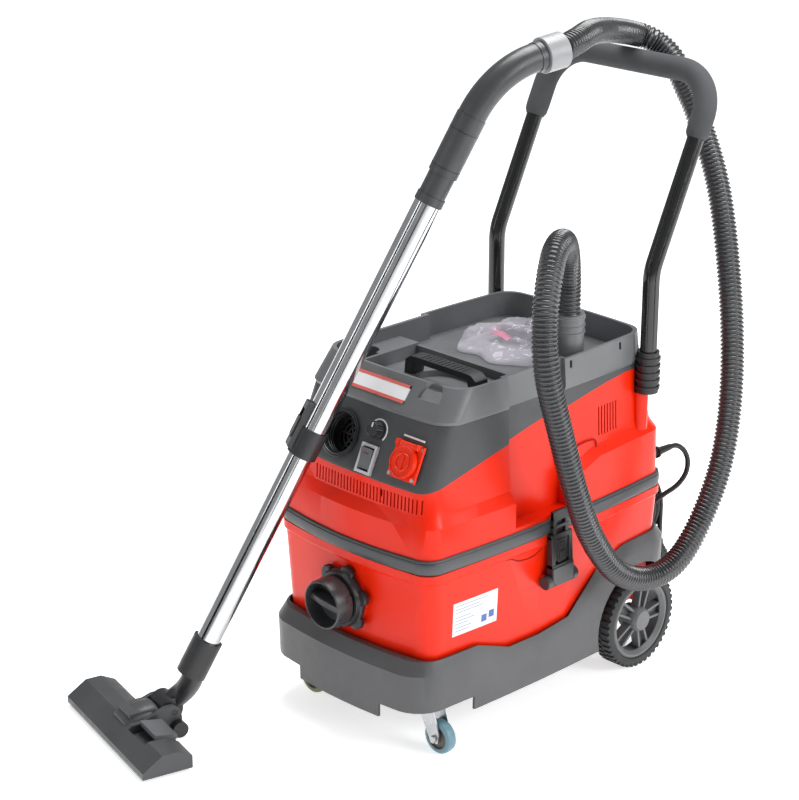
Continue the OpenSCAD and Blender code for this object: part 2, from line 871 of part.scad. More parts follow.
module socket_body() {
    color("#d8261a") on_panel(socket_x, socket_up) {
        difference() {
            union() {
                translate([0, -2, 0]) cube([52, 4, 52], center = true);
                rotate([90, 0, 0]) translate([0, 0, -14]) cylinder(d = socket_d, h = 16);
                for (s = [-1, 1]) {
                    translate([s * 18 - 3, -12, 19]) cube([6, 10, 8]);
                }
            }
            rotate([90, 0, 0]) translate([0, 0, -12]) cylinder(d = socket_d - 5, h = 30);
            translate([0, -8, 23]) rod_x(4 + 2 * fit_gap, 60);
            for (sx = [-1, 1], sz = [-1, 1]) {
                translate([sx * 22, 0, sz * 22]) rotate([90, 0, 0]) cylinder(d = 3, h = 20, center = true);
            }
        }
        translate([0, 12, 0]) rotate([90, 0, 0]) difference() {
            cylinder(d = socket_d - 6, h = 12);
            for (s = [-1, 1]) {
                translate([s * 9.5, 0, 2]) cylinder(d = 5, h = 12);
            }
        }
    }
}

module socket_flap() {
    color("#e3281a") on_panel(socket_x, socket_up) union() {
        translate([0, -5, -2]) rotate([90, 0, 0]) cylinder(d = 46, h = 5);
        translate([-14, -11, 12]) cube([28, 6, 12]);
        translate([0, -8, 23]) rod_x(4, 44);
        translate([0, -8, 23]) rod_x(7, 28);
    }
}

module socket_screws() {
    color("#b8babd") on_panel(socket_x, socket_up) {
        for (sx = [-1, 1], sz = [-1, 1]) {
            translate([sx * 22, 0, sz * 22]) rotate([90, 0, 0]) {
                translate([0, 0, -6]) cylinder(d = 3, h = 10);
                translate([0, 0, 4]) cylinder(d = 6, h = 1.6);
            }
        }
    }
}

// ---- push handle ----
collar_rings = 5;
collar_seat = 6;

module post_collars() {
    color("#252729") for (side = [-1, 1]) {
        on_side(side) translate([post_x, post_y, collar_z]) difference() {
            union() {
                cylinder(d = 33, h = collar_h);
                for (i = [0:collar_rings - 1]) {
                    translate([0, 0, 6 + i * 11]) cylinder(d = 37, h = 5);
                }
            }
            translate([0, 0, collar_seat]) cylinder(d = push_d, h = collar_h);
        }
    }
}

bend_r = 70;
crown_r = 62;
push_wall = 1.5;
push_bore = push_d - 2 * push_wall;
crown_leg = push_leg - crown_r;
tube_seam = 0.05;
grip_d = 35;
grip_legs = [50, 33];

// The frame of the leaning legs, at the top of the bends.
module upper_handle() {
    translate([0, post_y + bend_r * (1 - cos(push_lean)), bend_z + bend_r * sin(push_lean)])
        rotate([-push_lean, 0, 0]) children();
}

// The top of the U: leg ends of the two lengths in legs, two round corners and the crossbar.
module crown(d, bore, legs) {
    for (side = [-1, 1]) {
        leg = legs[max(side, 0)];
        on_side(side) {
            translate([post_x, 0, crown_leg - leg]) linear_extrude(leg) ring_2d(d, bore);
            translate([post_x, 0, crown_leg]) rotate([0, 0, 180]) bend(crown_r, 90, d, bore);
        }
    }
    translate([0, 0, crown_leg + crown_r]) rotate([0, 90, 0])
        linear_extrude(push_w - 2 * crown_r, center = true) ring_2d(d, bore);
}

module push_tube() {
    color("#1a1b1c") {
        for (side = [-1, 1]) {
            on_side(side) translate([post_x, post_y, 0]) {
                translate([0, 0, collar_z + collar_seat])
                    linear_extrude(bend_z - collar_z - collar_seat) ring_2d(push_d, push_bore);
                translate([0, 0, bend_z]) rotate([0, 0, 90]) bend(bend_r, push_lean, push_d, push_bore);
            }
        }
        upper_handle() crown(push_d, push_bore, [crown_leg - tube_seam, crown_leg - tube_seam]);
    }
}

module push_grip() {
    color("#4e5052") upper_handle() crown(grip_d, push_d, grip_legs);
}

// ---- motor, filter and float ----
motor_floor = seal_top + wall;
filter_neck_d = 96;
filter_h = 120;

module motor() {
    color("#8f9194") difference() {
        union() {
            translate([0, 0, motor_floor]) cylinder(d = 170, h = 8);
            translate([0, 0, motor_floor + 8]) cylinder(d = 144, h = 42);
            translate([0, 0, motor_floor + 50]) cylinder(d = 96, h = 74);
        }
        translate([0, 0, motor_floor - 1]) cylinder(d = 60, h = 12);
        translate([0, 0, motor_floor + 8]) cylinder(d = 138, h = 38);
        translate([0, 0, motor_floor + 20]) cylinder(d = 10 + 2 * fit_gap, h = 90);
    }
}

module impeller() {
    color("#b5b8bb") {
        translate([0, 0, motor_floor + 14]) cylinder(d = 130, h = 3);
        translate([0, 0, motor_floor + 16]) for (i = [0:8]) {
            rotate(40 * i) translate([18, -1, 0]) cube([44, 2, 16]);
        }
        translate([0, 0, motor_floor + 14]) cylinder(d = 10, h = 90);
    }
}

module filter_cartridge() {
    color("#d9cfa8") translate([0, 0, seal_top - filter_h]) difference() {
        union() {
            cylinder(d = 150, h = filter_h, $fn = 72);
            translate([0, 0, filter_h]) cylinder(d = filter_neck_d, h = wall);
        }
        translate([0, 0, 8]) cylinder(d = 92, h = filter_h + 10);
    }
}

module float_cage() {
    color("#2f3133") translate([0, 0, seal_top - filter_h + 8]) {
        for (i = [0:5]) {
            rotate(60 * i) translate([36, -2, 0]) cube([4, 4, filter_h - 8]);
        }
        for (z = [0, 52, filter_h - 12]) {
            translate([0, 0, z]) difference() {
                cylinder(d = 86, h = 4);
                translate([0, 0, -1]) cylinder(d = 70, h = 6);
            }
        }
    }
}

module float_ball() {
    color("#e8e6e0") translate([0, 0, seal_top - filter_h + 8 + 31]) sphere(d = 60);
}

// ---- mains lead ----
lead_d = 8;
relief_x = 124;
relief_z = 312;
relief_l = 34;
relief_d = 12;
coil_x = 38;
coil_y = half_l + 38;
coil_mid_r = 48;
coil_side = 32;
coil_z = peg_z + peg_t + 0.9 - coil_mid_r + coil_side / 2;
LEAD_ROUTE = [
    [124, 299, 312], [125, 315, 310], [129, 328, 299], [132, 334, 281], [131, 331, 261],
    [124, 321, 243], [113, 307, 230], [103, 296, 218], [98, 291, 204]
];
plug_x = coil_x + coil_mid_r + (coil_side - lead_d) / 2;
plug_y = coil_y + (coil_side - lead_d) / 2;
plug_top = 142;

module strain_relief() {
    color("#1c1d1e") translate([relief_x, half_l - 6, relief_z]) rotate([-90, 0, 0]) difference() {
        union() {
            cylinder(d = relief_d, h = 12);
            translate([0, 0, 6]) cylinder(d = 18, h = 4);
            translate([0, 0, 10]) cylinder(d1 = 13, d2 = 9.5, h = relief_l - 4);
        }
    }
}

module mains_lead() {
    color("#222324") sweep(spline(LEAD_ROUTE, 2), lead_d, 12, [1, 0, 0]);
}

module lead_coil() {
    color("#242526") translate([coil_x, coil_y, coil_z]) rotate([90, 0, 0])
        rotate_extrude($fn = 60) translate([coil_mid_r, 0]) square(coil_side, center = true);
}

module mains_plug() {
    color("#1e1f20") translate([plug_x, plug_y, plug_top]) {
        translate([0, 0, -22]) cylinder(d1 = 26, d2 = 12, h = 22);
        translate([0, 0, -42]) cylinder(d = 38, h = 20);
        for (s = [-1, 1]) {
            translate([s * 9.5, 0, -61]) cylinder(d = 4.8, h = 20);
        }
    }
}

// ---- hose ----
cuff_x = 105;
cuff_y = 78;
cuff_top = 573;
cuff_d = 48;
HOSE_ROUTE = [
    [105, 78, 573], [106, 76, 620], [119, 57, 668], [148, 14, 700], [182, -42, 698],
    [205, -80, 650], [214, -92, 596], [221, -90, 540], [224, -68, 465], [227, -36, 367],
    [225, 4, 285], [222, 64, 212], [219, 136, 176], [223, 200, 184], [223, 255, 234],
    [228, 293, 324], [214, 325, 436], [180, 355, 562], [140, 368, 705], [92, 372, 806],
    [62, 376, 848], [33, 378, 885], [6, 367, 908], [-10, 338, 921], [22, 245, 943], [84, 134, 964],
    [113, 75, 966], [122, 34, 961]
];

module hose_cuff() {
    color("#4a4c4e") translate([cuff_x, cuff_y, tray_z + tray_floor]) difference() {
        union() {
            cylinder(d = cuff_d, h = cuff_top - tray_z - tray_floor);
            cylinder(d = cuff_d + 12, h = 6);
        }
        translate([0, 0, 4]) cylinder(d = hose_d - 6, h = cuff_top);
    }
}

module hose() {
    color("#3a3b3d") sweep(spline(HOSE_ROUTE, 2), hose_d, 12, [1, 0, 0]);
}

// ---- wand ----
wand_foot = [-129, -434, 110];
wand_turn = 57.5;
wand_lean = 27;
outer_from = 355;
outer_to = 738;
handle_bend_at = 869;
handle_bend_r = 125;
handle_bend = 57;
handle_turn = 25;
handle_d = 42;
spigot_d = 34;
spigot_l = 42;
ring_from = 9;
ring_l = 34;

// The wand's own frame: its foot at the origin and its tubes along +Z.
module on_wand(s) {
    translate(wand_foot) rotate([0, 0, wand_turn]) rotate([0, wand_lean, 0])
        translate([0, 0, s]) children();
}

// The end of the bent handle, where the hose's collar turns on it.
module on_spigot() {
    on_wand(handle_bend_at) rotate([0, 0, handle_turn]) after_bend(handle_bend_r, handle_bend) children();
}

module hose_collar() {
    color("#8e9092") on_spigot() translate([0, 0, ring_from]) difference() {
        cylinder(d = 50, h = ring_l);
        translate([0, 0, -1]) cylinder(d = spigot_d + 2 * fit_gap, h = ring_l - 3);
        cylinder(d = spigot_d - 6, h = ring_l + 1);
    }
}

module wand_handle() {
    color("#3c3e40") difference() {
        union() {
            on_wand(outer_to - 24) cylinder(d = wand_outer_d - 3, h = 60);
            on_wand(outer_to) cylinder(d = wand_outer_d + 3, h = 12);
            on_wand(outer_to + 12) cylinder(d = wand_outer_d, h = 34);
            on_wand(outer_to + 44) cylinder(d = handle_d, h = handle_bend_at - outer_to - 44);
            on_wand(handle_bend_at) rotate([0, 0, handle_turn])
                bend(handle_bend_r, handle_bend, handle_d - 2);
            on_spigot() translate([0, 0, -2]) cylinder(d = handle_d, h = ring_from);
            on_spigot() cylinder(d = spigot_d, h = spigot_l - 4);
        }
        on_wand(outer_to - 25) cylinder(d = wand_d - 6, h = handle_bend_at - outer_to + 25);
        on_wand(handle_bend_at - 0.1) rotate([0, 0, handle_turn])
            bend(handle_bend_r, handle_bend, wand_d - 6.4);
        on_spigot() translate([0, 0, -1]) cylinder(d = wand_d - 7, h = spigot_l);
    }
}

module wand_outer() {
    color("#c3c6c8") on_wand(outer_from) difference() {
        cylinder(d = wand_outer_d, h = outer_to - outer_from);
        translate([0, 0, -1]) cylinder(d = wand_d + 2 * fit_gap, h = outer_to - outer_from + 2);
    }
}

lock_from = 345;
lock_l = 42;
lock_d = wand_outer_d + 5;

module wand_sleeve() {
    color("#2b2d2f") on_wand(lock_from) difference() {
        union() {
            cylinder(d = lock_d, h = lock_l);
            translate([-lock_d / 2 - 5, -9, 6]) cube([lock_d / 2, 18, lock_l + 28]);
        }
        translate([0, 0, -1]) cylinder(d = wand_outer_d, h = lock_l + 40);
        translate([-lock_d / 2 - 6, -6, 20]) cube([8, 12, 44]);
    }
}

module wand_lock() {
    color("#17181a") on_wand(lock_from) translate([-lock_d / 2 - 7, -5.8, 22]) cube([6, 11.6, 30]);
}

module wand_inner() {
    color("#c8cbcd") on_wand(0) difference() {
        cylinder(d = wand_d, h = 440);
        translate([0, 0, -1]) cylinder(d = wand_d - 2.4, h = 442);
    }
}

// ---- floor nozzle ----
nozzle_x = -190.6;
nozzle_y = -510;
nozzle_turn = -14.25;
nozzle_w = 268;
nozzle_l = 76;
elbow_y = 60;
elbow_z = 36;
elbow_d = 36;
elbow_w = 38;
cheek_t = 7;
cheek_gap = 1.5;
elbow_pin_d = 10;
roller_z = 12;
roller_y = 64;
roller_pin_d = 6;
ELBOW_ROUTE = [[0, 60, 36], [3, 71, 44], [14, 83, 60], [29, 88, 82], [41, 89, 110]];

// The nozzle's own frame: X along its long side, -Y forward.
module on_nozzle() {
    translate([nozzle_x, nozzle_y, 0]) rotate([0, 0, nozzle_turn]) children();
}

module nozzle_neck() {
    color("#2a2c2e") difference() {
        union() {
            on_nozzle() {
                sweep(spline(ELBOW_ROUTE, 3), elbow_d - 4, 16, [1, 0, 0]);
                translate([0, elbow_y, elbow_z]) rod_x(elbow_d, elbow_w);
                translate([0, elbow_y, elbow_z]) rod_x(elbow_pin_d, elbow_w + 2 * cheek_t + 2);
            }
            on_wand(-14) cylinder(d = wand_d + 8, h = 58);
        }
        on_wand(0) cylinder(d = wand_d, h = 60);
    }
}

module nozzle_body() {
    color("#3a3c3e") on_nozzle() difference() {
        union() {
            rotate([90, 0, 90]) linear_extrude(nozzle_w, center = true) polygon([[-nozzle_l / 2, 5],
                [nozzle_l / 2, 5], [nozzle_l / 2, 24], [nozzle_l / 2 - 22, 35], [-8, 35],
                [-nozzle_l / 2, 15]]);
            for (s = [-1, 1]) {
                translate([s * (elbow_w / 2 + cheek_gap + cheek_t / 2), 0, 0]) rotate([90, 0, 90])
                    linear_extrude(cheek_t, center = true) polygon([[10, 8], [elbow_y + 12, 8],
                        [elbow_y + 12, 28], [elbow_y + 9, 40], [elbow_y + 1, 47],
                        [elbow_y - 12, 47], [10, 34]]);
            }
            translate([-elbow_w / 2 - 2, -6, 6]) cube([elbow_w + 4, 40, 40]);
        }
        translate([0, elbow_y, elbow_z]) rod_x(elbow_pin_d + 2 * fit_gap, 90);
        translate([0, roller_y, roller_z]) rod_x(roller_pin_d + 2 * fit_gap, 90);
        translate([-nozzle_w / 2 + 14, -8, 0]) cube([nozzle_w - 28, 18, 10]);
        for (y = BRUSH_ROWS) {
            translate([-nozzle_w / 2 + 5, y - 3, 0]) cube([nozzle_w - 10, 6, 13]);
        }
        translate([pedal_x - 27, -14, 22]) cube([54, 54, 30]);
        translate([pedal_x, pedal_pin_y, pedal_pin_z]) rod_x(pedal_pin_d + 2 * fit_gap, 66);
    }
}

BRUSH_ROWS = [-32, 30];
pedal_x = 60;
pedal_pin_y = 26;
pedal_pin_z = 26;
pedal_pin_d = 4;

module nozzle_brush() {
    color("#1c1d1e") on_nozzle() for (y = BRUSH_ROWS) {
        translate([-nozzle_w / 2 + 6, y - 2.7, 0]) cube([nozzle_w - 12, 5.4, 7.5]);
    }
}

module nozzle_pedal() {
    color("#525456") on_nozzle() {
        translate([pedal_x, pedal_pin_y, pedal_pin_z]) rod_x(pedal_pin_d, 62);
        translate([pedal_x - 26, 0, 0]) rotate([90, 0, 90]) linear_extrude(52) polygon([[4, 33], [16, 30],
            [pedal_pin_y - 4, pedal_pin_z - 2.5], [pedal_pin_y + 3, pedal_pin_z - 3.5],
            [pedal_pin_y + 12, 30],
            [pedal_pin_y + 11, 35], [4, 41]]);
    }
}

module nozzle_roller() {
    color("#2c2e30") on_nozzle() translate([0, roller_y, roller_z]) {
        rod_x(roller_pin_d, elbow_w + 2 * cheek_t + 20);
        for (s = [-1, 1]) {
            translate([s * (elbow_w / 2 + cheek_t + 8), 0, 0]) rod_x(2 * roller_z, 11);
        }
    }
}

// ---- accessories in the tray ----
module accessory_bag() {
    color("#c9c6cf") hull() {
        translate([-60, 95, tray_z + tray_floor + 24]) sphere(d = 46, $fn = 20);
        translate([40, 110, tray_z + tray_floor + 22]) sphere(d = 42, $fn = 20);
        translate([-70, 165, tray_z + tray_floor + 16]) sphere(d = 30, $fn = 20);
        translate([50, 165, tray_z + tray_floor + 16]) sphere(d = 30, $fn = 20);
    }
}

base();
tank();
tank_seal();
inlet_bezel();
inlet_cap();
rear_axle();
rear_wheel_left();
rear_wheel_right();
rear_tyre_left();
rear_tyre_right();
hub_cap_left();
hub_cap_right();
caster_plate_left();
caster_plate_right();
caster_fork_left();
caster_fork_right();
caster_axle_left();
caster_axle_right();
caster_wheel_left();
caster_wheel_right();
latch_pins();
latch_left();
latch_right();
head_shell();
control_cover();
tray();
carry_handle();
exhaust_port();
control_knob();
switch_frame();
rocker_switch();
socket_body();
socket_flap();
socket_screws();
post_collars();
push_tube();
push_grip();
hose_cuff();
motor();
impeller();
filter_cartridge();
float_cage();
float_ball();
strain_relief();
mains_lead();
lead_coil();
mains_plug();
hose();
hose_collar();
wand_handle();
wand_outer();
wand_sleeve();
wand_lock();
wand_inner();
nozzle_neck();
nozzle_body();
nozzle_brush();
nozzle_pedal();
nozzle_roller();
accessory_bag();
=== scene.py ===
import math

import bpy
from mathutils import Matrix, Vector, noise


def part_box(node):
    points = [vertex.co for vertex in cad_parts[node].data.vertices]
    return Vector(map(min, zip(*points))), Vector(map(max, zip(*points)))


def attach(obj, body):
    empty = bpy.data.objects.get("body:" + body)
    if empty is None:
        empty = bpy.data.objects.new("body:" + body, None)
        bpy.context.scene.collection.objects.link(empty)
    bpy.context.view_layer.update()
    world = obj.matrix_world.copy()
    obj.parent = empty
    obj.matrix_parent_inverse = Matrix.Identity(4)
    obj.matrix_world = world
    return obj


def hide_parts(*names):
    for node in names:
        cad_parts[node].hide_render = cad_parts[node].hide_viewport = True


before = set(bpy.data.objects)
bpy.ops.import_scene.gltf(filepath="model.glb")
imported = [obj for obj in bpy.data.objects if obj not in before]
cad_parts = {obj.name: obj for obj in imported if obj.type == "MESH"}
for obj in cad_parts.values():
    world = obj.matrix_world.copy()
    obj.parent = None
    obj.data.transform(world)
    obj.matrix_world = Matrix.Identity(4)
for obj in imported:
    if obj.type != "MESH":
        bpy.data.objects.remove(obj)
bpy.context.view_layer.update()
scene = bpy.context.scene

# ---- camera ----
# A long lens on a tripod, above the machine's front right corner.
lens_data = bpy.data.cameras.new("product_camera")
lens_data.sensor_fit = "HORIZONTAL"
lens_data.sensor_width = 36.0
lens_data.lens = 104.34
camera = bpy.data.objects.new("product_camera", lens_data)
camera.location = (2.1816, -2.2877, 1.5996)
camera.rotation_euler = (math.radians(90 - 20.28), 0, math.radians(45.65))
scene.collection.objects.link(camera)
scene.camera = camera
scene.view_settings.view_transform = "Standard"


# ---- suction hose ----
# A 38 mm corrugated hose, blow-moulded in dark grey polyethylene: narrow round ribs with deep
# grooves between them. It pushes into the cuff in the tray and ends in the wand's collar.
MM = 0.001


def linear(hex_colour):
    """An sRGB hex value as the linear colour that a shader takes."""
    parts = [int(hex_colour[i:i + 2], 16) / 255 for i in (1, 3, 5)]
    return [c / 12.92 if c <= 0.04045 else ((c + 0.055) / 1.055) ** 2.4 for c in parts] + [1.0]


def add_node(material, kind, settings=None, inputs=None, links=None):
    """Adds a node with its settings, its sockets' values and its links from other nodes' outputs."""
    node = material.node_tree.nodes.new(kind)
    for name, value in (settings or {}).items():
        setattr(node, name, value)
    for name, value in (inputs or {}).items():
        node.inputs[name].default_value = value
    for name, (source, output) in (links or {}).items():
        material.node_tree.links.new(source.outputs[output], node.inputs[name])
    return node


def moulded_plastic(name, dark, light, roughness, grain_mm, grain_depth_mm, gloss=0.5, worn=0.08):
    """Injection-moulded plastic: the tool's spark-eroded grain in the relief, and faint flow
    clouds and handling marks in the colour and the gloss."""
    material = bpy.data.materials.new(name)
    material.use_nodes = True
    shader = material.node_tree.nodes["Principled BSDF"]
    shader.inputs["IOR"].default_value = 1.5
    shader.inputs["Specular IOR Level"].default_value = gloss
    place = add_node(material, "ShaderNodeTexCoord")
    clouds = add_node(material, "ShaderNodeTexNoise", inputs={"Scale": 9.0, "Detail": 4.0, "Roughness": 0.6},
                      links={"Vector": (place, "Object")})
    tint = add_node(material, "ShaderNodeValToRGB", links={"Fac": (clouds, "Fac")})
    tint.color_ramp.elements[0].position, tint.color_ramp.elements[0].color = 0.3, linear(dark)
    tint.color_ramp.elements[1].position, tint.color_ramp.elements[1].color = 0.7, linear(light)
    marks = add_node(material, "ShaderNodeTexNoise", inputs={"Scale": 60.0, "Detail": 6.0, "Roughness": 0.7},
                     links={"Vector": (place, "Object")})
    gloss_map = add_node(material, "ShaderNodeMapRange",
                         inputs={"From Min": 0.3, "From Max": 0.7, "To Min": roughness - worn, "To Max": roughness + worn},
                         links={"Value": (marks, "Fac")})
    grain = add_node(material, "ShaderNodeTexNoise", inputs={"Scale": 1000 / grain_mm, "Detail": 2.0},
                     links={"Vector": (place, "Object")})
    relief = add_node(material, "ShaderNodeBump", inputs={"Strength": 0.5, "Distance": grain_depth_mm * MM},
                      links={"Height": (grain, "Fac")})
    links = material.node_tree.links
    links.new(tint.outputs["Color"], shader.inputs["Base Color"])
    links.new(gloss_map.outputs["Result"], shader.inputs["Roughness"])
    links.new(relief.outputs["Normal"], shader.inputs["Normal"])
    return material


def add_piece(name, points, faces, material, body, turn=Matrix.Identity(4), sharp=35, bevel=0.0):
    """A mesh piece from points in millimetres in its own frame, smooth but for edges sharper than sharp."""
    mesh = bpy.data.meshes.new(name)
    mesh.from_pydata([(turn @ Vector(p)) * MM for p in points], [], faces)
    mesh.validate()
    mesh.shade_smooth()
    mesh.set_sharp_from_angle(angle=math.radians(sharp))
    mesh.materials.append(material)
    piece = bpy.data.objects.new(name, mesh)
    scene.collection.objects.link(piece)
    if bevel:
        soft_edge = piece.modifiers.new("soft_edge", "BEVEL")
        soft_edge.width, soft_edge.segments, soft_edge.limit_method = bevel * MM, 3, "ANGLE"
        soft_edge.angle_limit, soft_edge.harden_normals = math.radians(sharp), True
    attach(piece, body)
    return piece


def skin(rings, ends=True):
    """Points and faces of a skin over rings that all have the same number of points."""
    n = len(rings[0])
    faces = [(j * n + i, j * n + (i + 1) % n, (j + 1) * n + (i + 1) % n, (j + 1) * n + i)
             for j in range(len(rings) - 1) for i in range(n)]
    if ends:
        faces += [tuple(range(n - 1, -1, -1)), tuple((len(rings) - 1) * n + i for i in range(n))]
    return [p for ring in rings for p in ring], faces


def smooth_path(route, spacing):
    """Points spacing apart along the Catmull-Rom curve through a route."""
    knots = [Vector(p) for p in route]
    fine = []
    for i in range(len(knots) - 1):
        before, a, b, after = knots[max(i - 1, 0)], knots[i], knots[i + 1], knots[min(i + 2, len(knots) - 1)]
        for s in range(24):
            t = s / 24
            fine.append(0.5 * (2 * a + (b - before) * t + (2 * before - 5 * a + 4 * b - after) * t * t
                               + (3 * a - before - 3 * b + after) * t ** 3))
    fine.append(knots[-1])
    length = sum((q - p).length for p, q in zip(fine, fine[1:]))
    steps = round(length / spacing)
    spread, walked, k = [], 0.0, 0
    for s in range(steps + 1):
        target = length * s / steps
        while k < len(fine) - 2 and walked + (fine[k + 1] - fine[k]).length < target:
            walked += (fine[k + 1] - fine[k]).length
            k += 1
        stretch = (fine[k + 1] - fine[k]).length
        spread.append(fine[k].lerp(fine[k + 1], min((target - walked) / stretch, 1.0)))
    return spread


def tube_rings(path, radii, sides):
    """Circles round a path, carried along it without twisting."""
    rings, side = [], Vector((1, 0, 0))
    for k, centre in enumerate(path):
        along = (path[min(k + 1, len(path) - 1)] - path[max(k - 1, 0)]).normalized()
        side = (side - along * side.dot(along)).normalized()
        up = along.cross(side)
        rings.append([centre + (side * math.cos(2 * math.pi * i / sides) + up * math.sin(2 * math.pi * i / sides))
                      * radii[k] for i in range(sides)])
    return rings


hose_route = [(105, 78, 573), (106, 76, 620), (119, 57, 668), (148, 14, 700), (182, -42, 698), (205, -80, 650),
              (214, -92, 596), (221, -90, 540), (224, -68, 465), (227, -36, 367), (225, 4, 285), (222, 64, 212),
              (219, 136, 176), (223, 200, 184), (223, 255, 234), (228, 293, 324), (214, 325, 436), (180, 355, 562),
              (140, 368, 705), (92, 372, 806), (62, 376, 848), (33, 378, 885), (6, 367, 908), (-10, 338, 921),
              (22, 245, 943), (84, 134, 964), (113, 75, 966), (122, 34, 961)]
hose_rib_pitch = 6.4
rib_profile = [18.4, 18.1, 16.6, 15.8, 16.6, 18.1]
hose_path = smooth_path(hose_route, hose_rib_pitch / len(rib_profile))
hose_radii = [rib_profile[k % len(rib_profile)] for k in range(len(hose_path))]
hose_grey = moulded_plastic("blow_moulded_hose_polyethylene", "#2b2c2e", "#35373a", 0.24, 3.0, 0.02, gloss=0.8)
hose = add_piece("corrugated_hose", *skin(tube_rings(hose_path, hose_radii, 24)), hose_grey, "head", sharp=80)
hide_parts("hose")

# ---- mains lead ----
# Five metres of 8 mm rubber-sheathed lead, wound in sixteen turns, tied with a strap and hung on
# the hook behind the head. Its moulded plug hangs on the last turn.
lead_route = [(124, 299, 312), (125, 315, 310), (129, 328, 299), (132, 334, 281), (131, 331, 261), (124, 321, 243),
              (113, 307, 230), (103, 296, 218), (98, 291, 204)]
lead_d = 8.0
coil_centre = Vector((38, 303, 202.9))
coil_turn_radii = (60, 52, 44, 36)
coil_rows = (-12, -4, 4, 12)
turn_points = 36
plug_top = 142.0


def coil_turns():
    """The lead's centre line round the coil: row by row, out and in by turns, down to the plug."""
    cells = [(r, y) for row, y in enumerate(coil_rows)
             for r in (coil_turn_radii if row % 2 == 0 else coil_turn_radii[::-1])]
    line = []
    for k, (r, y) in enumerate(cells):
        next_r, next_y = cells[min(k + 1, len(cells) - 1)]
        for i in range(turn_points):
            turn = i / turn_points
            ease = min(max((turn - 0.8) / 0.2, 0), 1)
            ease = ease * ease * (3 - 2 * ease)
            radius, row = r + (next_r - r) * ease, y + (next_y - y) * ease
            angle = -2 * math.pi * turn
            line.append(coil_centre + Vector((radius * math.cos(angle), row, radius * math.sin(angle))))
    tail_x = coil_centre.x + cells[-1][0]
    tail_y = coil_centre.y + cells[-1][1]
    drop = coil_centre.z - plug_top
    return line + [Vector((tail_x, tail_y, coil_centre.z - drop * s / 5)) for s in range(6)]


lead_path = smooth_path(lead_route, 6.0)[:-1] + coil_turns()
lead_length = sum((q - p).length for p, q in zip(lead_path, lead_path[1:])) * MM
lead_rubber = moulded_plastic("rubber_lead_sheath", "#1b1c1d", "#242526", 0.5, 1.2, 0.03, gloss=0.4)
lead = add_piece("mains_lead_wound", *skin(tube_rings(lead_path, [lead_d / 2] * len(lead_path), 14)), lead_rubber,
                 "head", sharp=80)
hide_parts("mains_lead", "lead_coil")


def lathe(profile, steps, closed=True):
    """Points and faces of a profile of (radius, height) pairs turned about Z."""
    rings = [[(r * math.cos(2 * math.pi * i / steps), r * math.sin(2 * math.pi * i / steps), h)
              for i in range(steps)] for r, h in profile]
    return skin(rings, closed)


def join(*parts):
    """Points and faces of several meshes as one."""
    points, faces = [], []
    for more_points, more_faces in parts:
        faces += [tuple(i + len(points) for i in face) for face in more_faces]
        points += list(more_points)
    return points, faces


def moved(part, turn):
    """A mesh part moved by a matrix."""
    return [turn @ Vector(p) for p in part[0]], part[1]


def block(x0, x1, y0, y1, z0, z1):
    """A plain slab, for joining into a larger piece."""
    low = [(x0, y0, z0), (x1, y0, z0), (x1, y1, z0), (x0, y1, z0)]
    return skin([low, [(x, y, z1) for x, y, _ in low]])


plug_place = Matrix.Translation((98, 315, plug_top))
plug_body = lathe([(4.6, 6), (6.0, 4), (6.2, -2), (9.0, -8), (13.0, -16), (16.6, -23), (18.6, -26), (19.0, -29),
                   (19.0, -40), (18.2, -42), (3.0, -42)], 40)
plug_ribs = [lathe([(r - 0.4, -h - 1.2), (r + 0.9, -h - 0.6), (r + 0.9, -h + 0.6), (r - 0.4, -h + 1.2)], 32)
             for r, h in ((7.0, 5), (9.6, 10), (12.4, 15))]
plug_pins = [moved(lathe([(2.2, -41), (2.4, -42), (2.4, -59), (1.6, -61)], 16), Matrix.Translation((s, 0, 0)))
             for s in (-9.5, 9.5)]
plug = add_piece("moulded_plug", *join(plug_body, *plug_ribs), lead_rubber, "head", plug_place)
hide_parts("mains_plug")
strap_out, strap_in, strap_half = 18.2, 16.6, 8.0


def rounded_square(half, radius, depth, steps=5):
    """A square outline with round corners in X and Y, at Z = depth."""
    points = []
    for corner, (cx, cy) in enumerate(((1, -1), (1, 1), (-1, 1), (-1, -1))):
        for i in range(steps + 1):
            a = math.radians(90 * corner - 90 + 90 * i / steps)
            points.append((cx * (half - radius) + radius * math.cos(a), cy * (half - radius) + radius * math.sin(a), depth))
    return points


strap_rings = [rounded_square(strap_out, 6, -strap_half), rounded_square(strap_out, 6, strap_half),
               rounded_square(strap_in, 5, strap_half), rounded_square(strap_in, 5, -strap_half),
               rounded_square(strap_out, 6, -strap_half)]
strap_place = Matrix.Translation(coil_centre) @ Matrix.Rotation(math.radians(60), 4, "Y") @ Matrix.Translation((-48, 0, 0))
strap_weave = moulded_plastic("woven_nylon_strap", "#17181a", "#222325", 0.8, 1.4, 0.12, gloss=0.2)
strap = add_piece("lead_tie_strap", *skin(strap_rings, False), strap_weave, "head", strap_place)


def dress(node, material, soft=0.0, sharp=32):
    """Gives a CAD part its material and, where soft is set, a moulding's edge radius in millimetres."""
    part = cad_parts[node]
    if "custom_normal" in part.data.attributes:
        part.data.attributes.remove(part.data.attributes["custom_normal"])
    part.data.shade_smooth()
    for slot in part.material_slots:
        slot.material = material
    merge = part.modifiers.new("merge", "WELD")
    merge.merge_threshold = 0.00002
    if soft:
        edge = part.modifiers.new("soft_edge", "BEVEL")
        edge.width, edge.segments, edge.limit_method = soft * MM, 3, "ANGLE"
        edge.angle_limit, edge.harden_normals, edge.use_clamp_overlap = math.radians(sharp), True, True
    else:
        split = part.modifiers.new("edges", "EDGE_SPLIT")
        split.split_angle = math.radians(sharp)


dress("strain_relief", lead_rubber)

